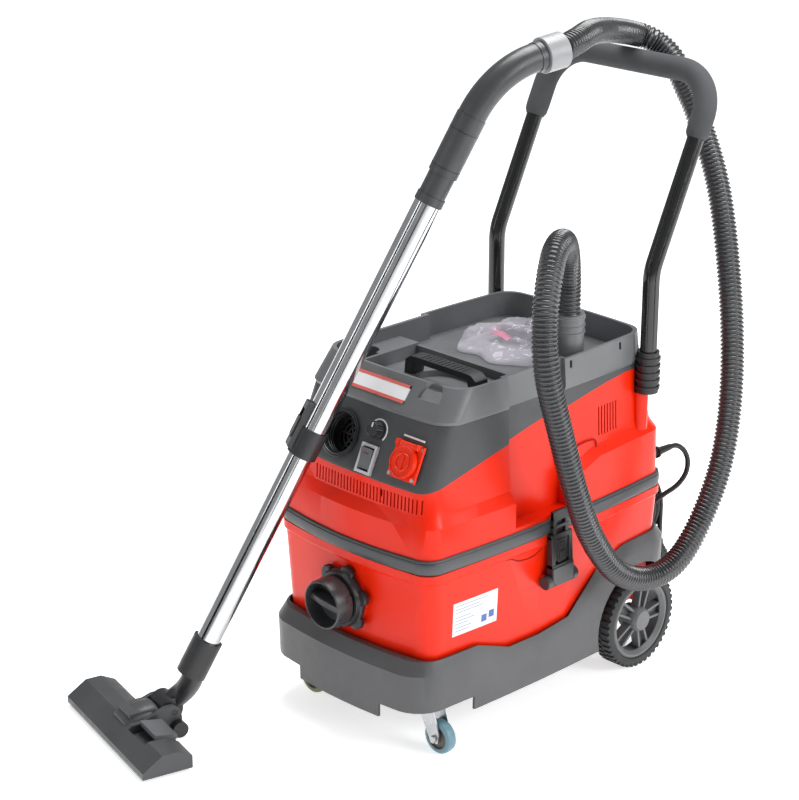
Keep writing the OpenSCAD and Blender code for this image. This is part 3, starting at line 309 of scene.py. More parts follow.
# ---- base ----
# One large injection-moulded tray of grey polypropylene with a chamfered rim, wheel arches at the
# rear and cut-outs for the casters. The tank drops into it.
base_grey = moulded_plastic("moulded_base_polypropylene", "#4a4b4d", "#545557", 0.42, 0.9, 0.03, gloss=0.5)
dress("base", base_grey, soft=1.6)

# ---- tank ----
# The dirt tank: glossy red polypropylene, moulded in one piece with draft on its walls, and a
# rating plate stuck on its side. Gate marks and sink marks leave the gloss slightly uneven.
tank_red = moulded_plastic("moulded_red_polypropylene", "#df2204", "#e52605", 0.3, 1.2, 0.003, gloss=0.25, worn=0.02)
dress("tank", tank_red, soft=1.2)
body_w, body_l, tank_top, seal_h = 332.0, 530.0, 276.0, 22.0
tank_taper, corner_r, side_bow = 0.045, 30.0, 10.0


def outline(width, front, rear, radius, bow, front_bow, z):
    """The plan outline of the body's mouldings: rounded corners and slightly bowed sides."""
    x, f, b = width / 2 - bow - radius, front + front_bow + radius, rear - front_bow - radius
    points = []
    spans = (((x, f), -90, (x + radius, f), (x + radius, b), (1, 0), bow),
             ((x, b), 0, (x, b + radius), (-x, b + radius), (0, 1), front_bow),
             ((-x, b), 90, (-x - radius, b), (-x - radius, f), (-1, 0), bow),
             ((-x, f), 180, (-x, f - radius), (x, f - radius), (0, -1), front_bow))
    for (cx, cy), start, p, q, out, swell in spans:
        points += [(cx + radius * math.cos(math.radians(start + 7.5 * i)),
                    cy + radius * math.sin(math.radians(start + 7.5 * i)), z) for i in range(13)]
        for i in range(1, 16):
            t = i / 16
            s = swell * 4 * t * (1 - t)
            points.append((p[0] + (q[0] - p[0]) * t + out[0] * s, p[1] + (q[1] - p[1]) * t + out[1] * s, z))
    return points


def tank_side_x(y, z):
    """How far out the tank's right wall is at a place."""
    inset = tank_taper * (tank_top - z)
    run = body_l / 2 - 3 - inset - side_bow - 1 - corner_r + 3
    t = (y + run) / (2 * run)
    return (body_w - 6) / 2 - inset - (side_bow - 1) + (side_bow - 1) * 4 * t * (1 - t)


def printed_sheet(name, base_colour, roughness):
    """A printed self-adhesive polyester sheet: a thin film with a slight orange-peel gloss."""
    return moulded_plastic(name, base_colour, base_colour, roughness, 2.0, 0.006, gloss=0.5, worn=0.03)


def wrapped_plate(y0, y1, z0, z1, proud, side_x, columns=10):
    """A thin plate that lies on a bowed right-hand wall."""
    rings = []
    for i in range(columns + 1):
        y = y0 + (y1 - y0) * i / columns
        rings.append([(side_x(y, z0) - 1, y, z0), (side_x(y, z0) + proud, y, z0),
                      (side_x(y, z1) + proud, y, z1), (side_x(y, z1) - 1, y, z1)])
    return skin(rings)


plate_white = printed_sheet("white_polyester_label", "#e4e4e6", 0.35)
plate_ink = printed_sheet("grey_label_print", "#9aa4b8", 0.4)
plate_blue = printed_sheet("blue_label_print", "#4a63a8", 0.4)
rating_plate = add_piece("rating_plate", *wrapped_plate(-200, -116, 171, 222, 0.35, tank_side_x), plate_white, "base")
print_rows = [wrapped_plate(-196, -196 + length, z, z + 1.6, 0.5, tank_side_x, 4)
              for z, length in ((216, 60), (210.5, 46), (206, 52), (198, 30), (193, 36), (188, 24), (182, 30), (177, 26))]
plate_rows = add_piece("rating_plate_rules", *join(*print_rows), plate_ink, "base")
plate_squares = add_piece("rating_plate_blocks", *join(wrapped_plate(-146, -136, 178, 189, 0.55, tank_side_x, 2),
                                                       wrapped_plate(-132, -122, 181, 192, 0.55, tank_side_x, 2)),
                          plate_blue, "base")

# Painted shade: a thin dark red line laid along the step in the tank's right wall stands in for the shade under the
# step. The same dark red draws the painted shade in the hood's grooves and the marks on the rocker.
groove_shade_and_mark_red = moulded_plastic("shaded_red_groove", "#8f0c03", "#9a1004", 0.5, 1.2, 0.02, gloss=0.2)
brow_line = [(tank_side_x(y, z) - 0.5, y, z) for y, z in
             ((-228, 262), (-200, 262), (-160, 262), (-112, 262), (-92, 259), (-80, 253), (-66, 250), (-48, 250),
              (-36, 254), (-30, 258))]
brow_path = smooth_path(brow_line, 3.0)
brow = add_piece("tank_wall_step_painted_shade", *skin(tube_rings(brow_path, [1.3] * len(brow_path), 8)), groove_shade_and_mark_red, "base")

# ---- seal ----
# A U-shaped rubber extrusion pushed over the tank's rim. It bulges a little where the head's
# weight presses it, and a fine bead runs along its upper lip.
seal_rubber = moulded_plastic("extruded_seal_rubber", "#3c3f42", "#45484b", 0.38, 1.6, 0.02, gloss=0.5)
seal_profile = [(12.0, 0.2), (1.0, 0.2), (0.0, 1.6), (-0.9, 5.0), (-1.2, 11.0), (-0.9, 16.0), (-0.4, 18.0), (0.5, 18.6),
                (-0.2, 19.4), (-0.2, 20.6), (0.8, 21.8), (12.0, 21.8), (12.0, 0.2)]
seal_rings = [outline(body_w - 2 * inset, -body_l / 2 + inset, body_l / 2 - inset, corner_r, side_bow, side_bow + 2,
                      tank_top + up) for inset, up in seal_profile]
seal = add_piece("seal_extrusion", *skin(seal_rings, False), seal_rubber, "base", sharp=60)
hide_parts("tank_seal")

# ---- suction inlet ----
# A black glass-filled nylon bezel screwed to the tank, with lobes round its rim, and a bayonet
# cap with a dished face and a thick grip bar across it.
black_nylon = moulded_plastic("moulded_black_nylon", "#1d1e20", "#27282a", 0.36, 0.8, 0.025, gloss=0.5)
inlet_place = Matrix.Translation((0, -263, 205)) @ Matrix.Rotation(math.radians(90), 4, "X")


def lobed(radius, lobe, count, phase, depth, steps=120):
    """A round outline with count soft lobes that stand lobe out of it."""
    points = []
    for i in range(steps):
        a = 2 * math.pi * i / steps
        wave = max(math.cos(count * (a - math.radians(phase))), 0) ** 0.45
        points.append(((radius + lobe * wave) * math.cos(a), (radius + lobe * wave) * math.sin(a), depth))
    return points


bezel_rings = [lobed(42, 9, 6, 15, 0), lobed(43, 9, 6, 15, 1.2), lobed(43, 9, 6, 15, 7), lobed(41.5, 8.6, 6, 15, 9),
               lobed(41.2, 1.5, 6, 15, 9.4), lobed(41, 0, 6, 15, 14), lobed(40, 0, 6, 15, 15.8), lobed(30, 0, 6, 15, 15.8),
               lobed(29, 0, 6, 15, 15), lobed(29, 0, 6, 15, -24), lobed(32.8, 0, 6, 15, -24), lobed(32.8, 0, 6, 15, 0),
               lobed(42, 9, 6, 15, 0)]
bezel = add_piece("inlet_bezel_lobed", *skin(bezel_rings, False), black_nylon, "base", inlet_place)
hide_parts("inlet_bezel")
cap_grey = moulded_plastic("satin_dark_nylon_rim", "#2c2d2f", "#3a3b3d", 0.32, 0.8, 0.02, gloss=0.55)
cap_place = inlet_place @ Matrix.Translation((0, 0, 16.4))
cap_shell = lathe([(28, -16), (28, 0.4), (34.5, 0.4), (36, 2), (36, 26), (35, 28.6), (33.8, 29.4), (32.6, 28.8), (31.8, 26),
                   (31.4, 12), (29, 6), (24, 4.2), (14, 3.6), (0.5, 3.5)], 72)
bar_half, bar_w = 31.2, 6.0
bar_rings = []
for along in [-bar_half + 2 * bar_half * i / 14 for i in range(15)]:
    sag = 3.0 * (abs(along) / bar_half) ** 2
    bar_rings.append([(along, -bar_w, 4 - sag * 0), (along, -bar_w, 20.5 - sag), (along, -bar_w + 1.6, 23.2 - sag),
                      (along, 0, 24 - sag), (along, bar_w - 1.6, 23.2 - sag), (along, bar_w, 20.5 - sag), (along, bar_w, 4)])
cap_tab = [moved(block(-5, 5, 33.5, 37.8, 3, 12), Matrix.Rotation(math.radians(a), 4, "Z")) for a in (-70, 110)]
cap = add_piece("bayonet_cap", *join(cap_shell, moved(skin(bar_rings), Matrix.Rotation(math.radians(-6), 4, "Z")),
                                     *cap_tab), cap_grey, "inlet_cap", cap_place, bevel=0.5)
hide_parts("inlet_cap")

# ---- latches ----
# Sprung over-centre latches of black nylon, one a side: a forked arm over the seal, a window with
# the spring leg in it, and a wide foot that turns on a steel pin in the tank.
latch_foot_grey = moulded_plastic("moulded_grey_nylon_foot", "#343638", "#404244", 0.35, 0.8, 0.02, gloss=0.5)
latch_half = 22.0


def slab(outline_uv, x0, x1):
    """A plate with an outline in Y and Z, from x0 to x1."""
    return skin([[(x0, u, v) for u, v in outline_uv], [(x1, u, v) for u, v in outline_uv]])


def latch_wedge(u0, u1, v0, v1, low0, low1, high0, high1):
    """A block on the latch that leans outwards: its back and face at the low and the high end."""
    return skin([[(low0, u0, v0), (low1, u0, v0), (low1, u1, v0), (low0, u1, v0)],
                 [(high0, u0, v1), (high1, u0, v1), (high1, u1, v1), (high0, u1, v1)]])


latch_arms = [latch_wedge(u0, u1, 236, 311, 168, 175.5, 166.6, 172.5) for u0, u1 in ((-16, -9), (9, 16))]
latch_head = [latch_wedge(-16, 16, 298, 312, 166.6, 174, 166.6, 171.5), latch_wedge(-16, 16, 286, 291, 167, 174.5, 167, 174)]
latch_frame = [latch_wedge(-latch_half, -14.5, 212, 276, 167, 179, 167, 175.5),
               latch_wedge(14.5, latch_half, 212, 276, 167, 179, 167, 175.5),
               latch_wedge(-latch_half, latch_half, 270, 277, 167, 176, 167, 175),
               latch_wedge(-latch_half, latch_half, 226, 232, 167, 179, 167, 178.6),
               latch_wedge(-15, 15, 228, 274, 166.8, 171.5, 166.8, 169.5)]
latch_leg = [latch_wedge(-9, 9, 234, 268, 170, 177, 169, 174.4), latch_wedge(-5, 5, 238, 250, 176, 178.2, 175, 177.2),
             latch_wedge(-5, 5, 254, 264, 174.5, 176.4, 174, 175.6)]
latch_boss = [moved(lathe([(3.05, -latch_half), (9.4, -latch_half), (9.4, latch_half), (3.05, latch_half),
                           (3.05, -latch_half)], 32, False),
                    Matrix.Translation((171, 0, 206)) @ Matrix.Rotation(math.radians(90), 4, "X"))]
latch_foot_shape = [(-latch_half, 228), (latch_half, 228), (latch_half - 1, 208), (latch_half - 7, 199.5),
                    (-latch_half + 7, 199.5), (-latch_half + 1, 208)]
for side, latch_name in ((-1, "left"), (1, "right")):
    latch_place = Matrix.Translation((0, -2, 0)) @ Matrix.Diagonal((side, 1, 1, 1))
    latch_mesh = join(*latch_arms, *latch_head, *latch_frame, *latch_leg, *latch_boss)
    foot_mesh = slab(latch_foot_shape, 176.5, 180.4)
    if side < 0:
        latch_mesh = latch_mesh[0], [face[::-1] for face in latch_mesh[1]]
        foot_mesh = foot_mesh[0], [face[::-1] for face in foot_mesh[1]]
    latch = add_piece("latch_arm_" + latch_name, *latch_mesh, black_nylon, "latch_" + latch_name, latch_place, bevel=0.7)
    foot = add_piece("latch_foot_" + latch_name, *foot_mesh, latch_foot_grey, "latch_" + latch_name, latch_place, bevel=1.0)
    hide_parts("latch_" + latch_name)
    end_caps = [moved(lathe([(3.0, h), (10.2, h), (10.2, h + 8.4), (9.4, h + 9.2), (3.0, h + 9.2)], 32),
                      Matrix.Translation((171, 0, 206)) @ Matrix.Rotation(math.radians(90), 4, "X"))
                for h in (latch_half + 0.2, -latch_half - 9.4)]
    caps_mesh = join(*end_caps)
    if side < 0:
        caps_mesh = caps_mesh[0], [face[::-1] for face in caps_mesh[1]]
    caps = add_piece("latch_hinge_caps_" + latch_name, *caps_mesh, latch_foot_grey, "base", latch_place)


def plated_metal(name, colour, roughness, streak_mm, depth_mm):
    """Bright metal plate: fine streaks from the polishing or the drawing of the part, in its gloss."""
    material = bpy.data.materials.new(name)
    material.use_nodes = True
    shader = material.node_tree.nodes["Principled BSDF"]
    shader.inputs["Metallic"].default_value = 1.0
    place = add_node(material, "ShaderNodeTexCoord")
    tone = add_node(material, "ShaderNodeTexNoise", inputs={"Scale": 30.0, "Detail": 5.0}, links={"Vector": (place, "Object")})
    shade = add_node(material, "ShaderNodeValToRGB", links={"Fac": (tone, "Fac")})
    shade.color_ramp.elements[0].position, shade.color_ramp.elements[0].color = 0.3, linear(colour[0])
    shade.color_ramp.elements[1].position, shade.color_ramp.elements[1].color = 0.7, linear(colour[1])
    streaks = add_node(material, "ShaderNodeTexNoise", inputs={"Scale": 1000 / streak_mm, "Detail": 3.0},
                       links={"Vector": (place, "Object")})
    gloss_map = add_node(material, "ShaderNodeMapRange",
                         inputs={"From Min": 0.3, "From Max": 0.7, "To Min": roughness * 0.7, "To Max": roughness * 1.4},
                         links={"Value": (streaks, "Fac")})
    relief = add_node(material, "ShaderNodeBump", inputs={"Strength": 0.4, "Distance": depth_mm * MM},
                      links={"Height": (streaks, "Fac")})
    links = material.node_tree.links
    links.new(shade.outputs["Color"], shader.inputs["Base Color"])
    links.new(gloss_map.outputs["Result"], shader.inputs["Roughness"])
    links.new(relief.outputs["Normal"], shader.inputs["Normal"])
    return material


zinc_plate = plated_metal("zinc_plated_steel", ("#b4b6b8", "#cfd1d3"), 0.32, 3.0, 0.01)
dress("latch_pins", zinc_plate)

# ---- rear wheels ----
# Six-inch wheels: a grey moulded rim with five pairs of thin spokes, a snap-on hub cap, and a
# black rubber tyre with cross lugs. They turn on one plated axle.
wheel_y, wheel_z, wheel_r, wheel_half = 186.0, 76.0, 76.0, 17.0
rim_r, hub_r, spoke_count, lug_count = 61.0, 19.0, 5, 44
rim_grey = moulded_plastic("moulded_grey_wheel_nylon", "#5c5e60", "#696b6d", 0.42, 1.0, 0.02, gloss=0.5)
tyre_rubber = moulded_plastic("moulded_tyre_rubber", "#2e2f30", "#3d3e3f", 0.62, 1.0, 0.08, gloss=0.35)
rim_part = lathe([(rim_r, -14), (rim_r, 14), (rim_r - 2, 15.6), (rim_r - 5, 15.6), (rim_r - 6.4, 14), (rim_r - 7.4, 0),
                  (rim_r - 6.4, -14), (rim_r - 5, -15.6), (rim_r - 2, -15.6), (rim_r, -14)], 72, False)
rim_lip = lathe([(rim_r - 7.6, 8), (rim_r - 5.8, 15), (rim_r - 10.5, 10.5), (rim_r - 10.8, 8.6), (rim_r - 7.6, 8)], 72, False)
hub_part = lathe([(6.05, -15.6), (hub_r - 2, -15.6), (hub_r, -13), (hub_r, 13), (hub_r - 1.6, 15.6), (6.05, 15.6),
                  (6.05, -15.6)], 48, False)
spokes = []
for n in range(spoke_count):
    for offset in (-7.2, 7.2):
        spoke = skin([[(hub_r - 4, offset * 0.8 - 2.6, -3), (hub_r - 4, offset * 0.8 + 2.6, -3),
                       (hub_r - 4, offset * 0.8 + 2.0, 11.5), (hub_r - 4, offset * 0.8 - 2.0, 11.5)],
                      [(rim_r - 6, offset * 1.35 - 2.6, -3), (rim_r - 6, offset * 1.35 + 2.6, -3),
                       (rim_r - 6, offset * 1.35 + 2.0, 9.5), (rim_r - 6, offset * 1.35 - 2.0, 9.5)]])
        spokes.append(moved(spoke, Matrix.Rotation(2 * math.pi * (n + 0.25) / spoke_count, 4, "Z")))
    web = skin([[(hub_r - 4, -6, -3), (hub_r - 4, 6, -3), (hub_r - 4, 6, 2), (hub_r - 4, -6, 2)],
                [(rim_r - 6, -10, -3), (rim_r - 6, 10, -3), (rim_r - 6, 10, 2), (rim_r - 6, -10, 2)]])
    spokes.append(moved(web, Matrix.Rotation(2 * math.pi * (n + 0.25) / spoke_count, 4, "Z")))
tyre_part = lathe([(rim_r, -14), (rim_r + 2, -16.4), (rim_r + 7, -16.8), (wheel_r - 3.4, -15), (wheel_r - 2.4, -11),
                   (wheel_r - 2.4, 11), (wheel_r - 3.4, 15), (rim_r + 7, 16.8), (rim_r + 2, 16.4), (rim_r, 14),
                   (rim_r, -14)], 96, False)
lugs = []
for n in range(lug_count):
    for low, high, turn in ((-16.6, -1.2, 0.0), (1.2, 16.6, 0.5)):
        across = 2 * math.pi * (n + turn) / lug_count
        lug = skin([[(wheel_r - 9.5, -2.9, high if high > 2 else low), (wheel_r - 3.2, -2.9, low * 0.94), (wheel_r - 3.2, -2.9, high * 0.94)],
                    [(wheel_r - 9.5, 2.9, high if high > 2 else low), (wheel_r - 3.2, 2.9, low * 0.94), (wheel_r - 3.2, 2.9, high * 0.94)]])
        crown = skin([[(wheel_r - 4, -2.9, low * 0.96), (wheel_r - 0.1, -2.3, low * 0.9), (wheel_r - 0.1, -2.3, high * 0.9),
                       (wheel_r - 4, -2.9, high * 0.96)],
                      [(wheel_r - 4, 2.9, low * 0.96), (wheel_r - 0.1, 2.3, low * 0.9), (wheel_r - 0.1, 2.3, high * 0.9),
                       (wheel_r - 4, 2.9, high * 0.96)]])
        lugs += [moved(crown, Matrix.Rotation(across, 4, "Z"))]
        lugs += [moved(lug, Matrix.Rotation(across, 4, "Z"))]
for side, wheel_name in ((-1, "left"), (1, "right")):
    wheel_place = Matrix.Translation((side * 157, wheel_y, wheel_z)) @ Matrix.Rotation(math.radians(90 * side), 4, "Y")
    rim = add_piece("wheel_rim_" + wheel_name, *join(rim_part, rim_lip, hub_part, *spokes), rim_grey,
                    "wheel_" + wheel_name, wheel_place, bevel=0.6)
    tyre = add_piece("wheel_tyre_" + wheel_name, *join(tyre_part, *lugs), tyre_rubber, "wheel_" + wheel_name, wheel_place)
    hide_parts("rear_wheel_" + wheel_name)
    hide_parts("rear_tyre_" + wheel_name)
    dress("hub_cap_" + wheel_name, rim_grey, soft=0.8)
dress("rear_axle", zinc_plate)

# ---- casters ----
# Swivel casters of pressed, zinc-plated steel with two-part wheels: a pale moulded core and a
# soft grey-blue tread, on a hexagon-headed bolt.
caster_y, caster_z, caster_r, caster_half = -222.0, 25.0, 25.0, 9.0
tread_blue = moulded_plastic("soft_blue_tread_elastomer", "#5f8290", "#6f94a2", 0.35, 1.5, 0.01, gloss=0.5)
tread_olive = moulded_plastic("aged_olive_tread_elastomer", "#6f6f50", "#7c7b58", 0.4, 1.5, 0.01, gloss=0.5)
core_grey = moulded_plastic("moulded_caster_core", "#4d4c46", "#5a5952", 0.45, 1.0, 0.02, gloss=0.5)
tread_part = lathe([(17.5, -8.2), (22, -8.2), (24.2, -6.4), (25, -3), (25, 3), (24.2, 6.4), (22, 8.2), (17.5, 8.2),
                    (17.5, -8.2)], 56, False)
core_part = lathe([(3.05, -9), (7, -9), (7.6, -7), (15.6, -5.4), (16.6, -8), (17.9, -8.4), (17.9, 8.4), (16.6, 8),
                   (15.6, 5.4), (7.6, 7), (7, 9), (3.05, 9), (3.05, -9)], 56, False)
for side, caster_name, tread in ((-1, "left", tread_olive), (1, "right", tread_blue)):
    caster_place = Matrix.Translation((side * 130 + 21, caster_y, caster_z)) @ Matrix.Rotation(math.radians(90), 4, "X")
    tread_piece = add_piece("caster_tread_" + caster_name, *tread_part, tread, "caster_" + caster_name, caster_place)
    core = add_piece("caster_core_" + caster_name, *core_part, core_grey, "caster_" + caster_name, caster_place)
    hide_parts("caster_wheel_" + caster_name)
    for part in ("caster_plate_", "caster_fork_", "caster_axle_"):
        dress(part + caster_name, zinc_plate)

# ---- head ----
# The motor head's glossy red polypropylene hood: a stepped ledge, rows of air slots and a moulded groove in each side,
# drawn as a dark red line of painted shade. It lifts off the tank with everything above it.
dress("head_shell", tank_red, soft=1.2)
side_x, groove_top = 150.2, 388.0
groove_route = [(side_x, 52, 352), (side_x, 52, groove_top - 8), (side_x, 58, groove_top), (side_x, 90, groove_top),
                (side_x, 96, groove_top - 8), (side_x, 96, 368)]
groove_path = smooth_path(groove_route, 3.0)
# Painted shade: each side's groove is a thin dark red line on the hood, standing in for the shade inside the groove.
for side, groove_name in ((-1, "left"), (1, "right")):
    mirrored = [Vector((side * p.x, p.y, p.z)) for p in groove_path]
    add_piece("hood_groove_painted_shade_" + groove_name, *skin(tube_rings(mirrored, [1.1] * len(mirrored), 8)), groove_shade_and_mark_red, "head")

# ---- control cover ----
# The grey cover over the motor, leaning back as the control panel. Its mould was spark-eroded, so
# it is satin, with a fine even grain.
cover_grey = moulded_plastic("moulded_cover_polypropylene", "#3b3d3f", "#444648", 0.45, 0.9, 0.03, gloss=0.45)
dress("control_cover", cover_grey, soft=1.0)
panel_lean = math.radians(-24.98)


def on_panel(x, up):
    """The frame of a place on the panel: X across, Y up the panel, Z out of it."""
    return (Matrix.Translation((x, -247, 390)) @ Matrix.Rotation(panel_lean, 4, "X") @ Matrix.Translation((0, 0, up))
            @ Matrix.Rotation(math.radians(90), 4, "X"))


# ---- exhaust port ----
# A deep black nylon port for the blowing end of the hose, with a rolled rim and thin concentric
# rings moulded in its wall.
dress("exhaust_port", black_nylon, soft=0.7)
port_rings = [lathe([(r, h), (r + 0.9, h + 0.5), (r + 0.9, h + 1.1), (r, h + 1.6), (r - 0.6, h + 0.8), (r, h)], 64, False)
              for r, h in ((34.2, 3.2), (31.2, 3.6), (28.4, -4), (28.4, -9), (28.4, -14))]
port_detail = add_piece("port_moulded_rings", *join(*port_rings), black_nylon, "head", on_panel(-42, 46))

# ---- speed knob ----
# A knob of black nylon with moulded grip flutes and a pointer, over a printed scale arc.
knob_flutes = 18


def fluted(radius, depth, height, steps=144):
    """A round outline with knob_flutes soft hollows."""
    return [((radius - depth * max(math.cos(knob_flutes * 2 * math.pi * i / steps), 0)) * math.cos(2 * math.pi * i / steps),
             (radius - depth * max(math.cos(knob_flutes * 2 * math.pi * i / steps), 0)) * math.sin(2 * math.pi * i / steps),
             height) for i in range(steps)]


knob_skin = skin([fluted(11.6, 0, 1.6), fluted(12.4, 0, 2.2), fluted(12.4, 0, 4.2), fluted(11.8, 0.9, 4.8), fluted(10.9, 0.9, 13.6),
                  fluted(10.0, 0.5, 15.2), fluted(8.6, 0, 15.6), fluted(8.0, 0, 15.0), fluted(1.0, 0, 15.0)])
knob_stem = lathe([(3.9, -9), (3.9, 3)], 24)
knob_place = on_panel(24, 66)
knob = add_piece("fluted_speed_knob", *join(knob_skin, knob_stem), black_nylon, "knob", knob_place, sharp=40)
pointer = add_piece("knob_pointer", *block(-0.9, 0.9, 3, 9.6, 14.6, 16.0), plate_white, "knob", knob_place, bevel=0.3)
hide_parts("control_knob")
arc_rings = [[(r * math.cos(a), r * math.sin(a), h) for r, h in ((15.2, -0.5), (15.2, 0.3), (17.4, 0.3), (17.4, -0.5))]
             for a in [math.radians(-40 + 260 * i / 40) for i in range(41)]]
scale_arc = add_piece("knob_scale_arc", *skin(arc_rings), plate_white, "head", knob_place)

# ---- rocker switch ----
# A pale rocker in a moulded frame that is clipped into the panel.
switch_grey = moulded_plastic("moulded_pale_switch_nylon", "#b9babd", "#c6c7c9", 0.35, 1.0, 0.01, gloss=0.5)
dress("switch_frame", switch_grey, soft=0.8)
dress("rocker_switch", rim_grey, soft=0.7)
rocker_marks = add_piece("rocker_marks", *block(-5, 5, 7.0, 8.0, 9.2, 9.9), groove_shade_and_mark_red, "rocker", on_panel(22, 24))

# ---- socket ----
# The tool socket: a red polycarbonate box held by four screws, with a sprung flap. The flap has a
# raised rim and a finger ring.
socket_red = moulded_plastic("moulded_red_polycarbonate", "#e02a08", "#e8300c", 0.26, 1.0, 0.006, gloss=0.35)
dress("socket_body", socket_red, soft=0.8)
dress("socket_flap", socket_red, soft=0.8)
dress("socket_screws", zinc_plate)
flap_rim = lathe([(20.5, 9.6), (22.6, 9.6), (22.6, 11.4), (21.8, 12.0), (20.9, 11.4), (20.5, 9.6)], 56, False)
flap_ring = lathe([(10.5, 9.8), (13.5, 9.8), (13.5, 11.4), (12.6, 12.4), (11.4, 12.4), (10.5, 11.4), (10.5, 9.8)], 48, False)
flap_rib = block(-2.0, 2.0, -10, 10, 9.8, 11.4)
flap_detail = add_piece("flap_rim_and_ring", *join(flap_rim, flap_ring, flap_rib), socket_red, "socket_flap",
                        on_panel(92, 38), bevel=0.3)
light_strip = add_piece("panel_light_strip", *block(-20, 20, 32, 34.6, -0.6, 0.5), plate_white, "head", on_panel(92, 40))

# ---- tray ----
# The accessory tray of grey polypropylene on top of the cover, with a raised deck and cup notch.
# A blank self-adhesive label with a thin frame is stuck on its sloping front.
tray_grey = moulded_plastic("moulded_tray_polypropylene", "#5b5d5f", "#67696b", 0.36, 0.9, 0.02, gloss=0.5)
dress("tray", tray_grey, soft=1.0)
label_w, label_h, label_x, label_z = 102.0, 27.0, 4.0, 505.0
tray_face = (Matrix.Translation((label_x, -195.2, label_z)) @ Matrix.Rotation(math.radians(-35.4), 4, "X")
             @ Matrix.Rotation(math.radians(90), 4, "X"))


def sheet_on_bow(x0, x1, y0, y1, low, high):
    """A thin film on the tray's front, which bows outwards by a few millimetres across its width."""
    rings = []
    for i in range(13):
        x = x0 + (x1 - x0) * i / 12
        away = 4 * 4.0 * ((x + label_x) / 294) ** 2
        rings.append([(x, y0, low - away), (x, y0, high - away), (x, y1, high - away), (x, y1, low - away)])
    return skin(rings)


tray_label = add_piece("tray_blank_label", *sheet_on_bow(-label_w / 2, label_w / 2, -label_h / 2, label_h / 2, -4, 0.4),
                       plate_white, "head", tray_face)
label_frame = [sheet_on_bow(-label_w / 2, label_w / 2, y, y + 4.5, -4, 0.6) for y in (-label_h / 2, label_h / 2 - 4.5)]
label_red = printed_sheet("red_label_print", "#d4635a", 0.4)
label_edge = add_piece("tray_label_border", *join(*label_frame), label_red, "head", tray_face)

# ---- carry handle ----
# A bow handle of black nylon with a ribbed pad, screwed to the tray's deck.
dress("carry_handle", black_nylon, soft=1.0)

# ---- hose cuff ----
# A grey moulded cuff that stands in the tray and takes the hose's end.
dress("hose_cuff", tray_grey, soft=1.0)
cuff_bands = [lathe([(24, h), (25.4, h + 0.8), (25.4, h + 3.2), (24, h + 4), (23.6, h + 2), (24, h)], 48, False)
              for h in (58, 68, 80)]
cuff_detail = add_piece("cuff_bands", *join(*cuff_bands), tray_grey, "head", Matrix.Translation((105, 78, 486)))

# ---- push handle ----
# Bent steel tube, stove-enamelled in gloss black, standing in ribbed nylon collars. A slipped-on
# tube of closed-cell foam covers the crown.
black_enamel = moulded_plastic("gloss_black_stove_enamel", "#101112", "#161718", 0.16, 2.5, 0.006, gloss=0.7, worn=0.04)
foam_grip = moulded_plastic("closed_cell_foam_sleeve", "#484a4c", "#545658", 0.85, 1.1, 0.16, gloss=0.2)
dress("post_collars", black_nylon, soft=0.7)
dress("push_tube", black_enamel)
post_y, push_lean, half_post, crown_leg, crown_r, grip_r, tube_r = 209.98, math.radians(-25.8), 153.0, 218.0, 62.0, 17.5, 13.4
foam_place = Matrix.Translation((0, post_y, 631.5)) @ Matrix.Rotation(push_lean, 4, "X")
foam_line = [Vector((half_post, 0, crown_leg - 33 + 33 * i / 6)) for i in range(6)]
foam_line += [Vector((half_post - crown_r + crown_r * math.cos(a), 0, crown_leg + crown_r * math.sin(a)))
              for a in [math.radians(6 * i) for i in range(16)]]
foam_line += [Vector((half_post - crown_r - (2 * half_post - 2 * crown_r) * i / 24, 0, crown_leg + crown_r))
              for i in range(1, 24)]
foam_line += [Vector((-half_post + crown_r - crown_r * math.sin(a), 0, crown_leg + crown_r * math.cos(a)))
              for a in [math.radians(6 * i) for i in range(16)]]
foam_line += [Vector((-half_post, 0, crown_leg - 50 * i / 8)) for i in range(1, 9)]
foam_end = 3
foam_radii = [grip_r - 0.1] * len(foam_line)
for k in range(foam_end):
    foam_radii[k] = foam_radii[-1 - k] = grip_r - 1.4 + 0.5 * k
foam_skin = skin([[c for c in ring] for ring in tube_rings(foam_line, [tube_r] + foam_radii[1:-1] + [tube_r], 28)], False)
foam = add_piece("foam_grip_sleeve", *foam_skin, foam_grip, "head", foam_place, sharp=70)
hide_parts("push_grip")

# ---- wand ----
# Two chromed steel tubes that slide in each other, with a moulded sleeve and its catch, a bent
# grey handle moulded in two halves, and the pale collar that the hose turns on.
chrome = plated_metal("polished_chrome_plate", ("#c9cccf", "#d8dadc"), 0.09, 6.0, 0.004)
handle_grey = moulded_plastic("moulded_handle_polypropylene", "#36383a", "#414345", 0.34, 0.9, 0.02, gloss=0.5)
collar_grey = moulded_plastic("moulded_pale_collar", "#8c8e90", "#999b9d", 0.38, 1.0, 0.015, gloss=0.5)
dress("wand_outer", chrome)
dress("wand_inner", chrome)
dress("wand_handle", handle_grey, soft=0.8)
dress("wand_sleeve", black_nylon, soft=1.0)
dress("wand_lock", black_nylon, soft=0.8)
dress("hose_collar", collar_grey, soft=1.2)
wand_place = (Matrix.Translation((-129, -434, 110)) @ Matrix.Rotation(math.radians(57.5), 4, "Z")
              @ Matrix.Rotation(math.radians(27), 4, "Y"))
seam_rings = [lathe([(r - 0.6, s - 0.9), (r + 0.35, s - 0.5), (r + 0.35, s + 0.5), (r - 0.6, s + 0.9), (r - 0.6, s - 0.9)], 48, False)
              for r, s in ((21.0, 792), (21.0, 846))]
seams = add_piece("handle_mould_seams", *join(*seam_rings), black_nylon, "wand", wand_place)

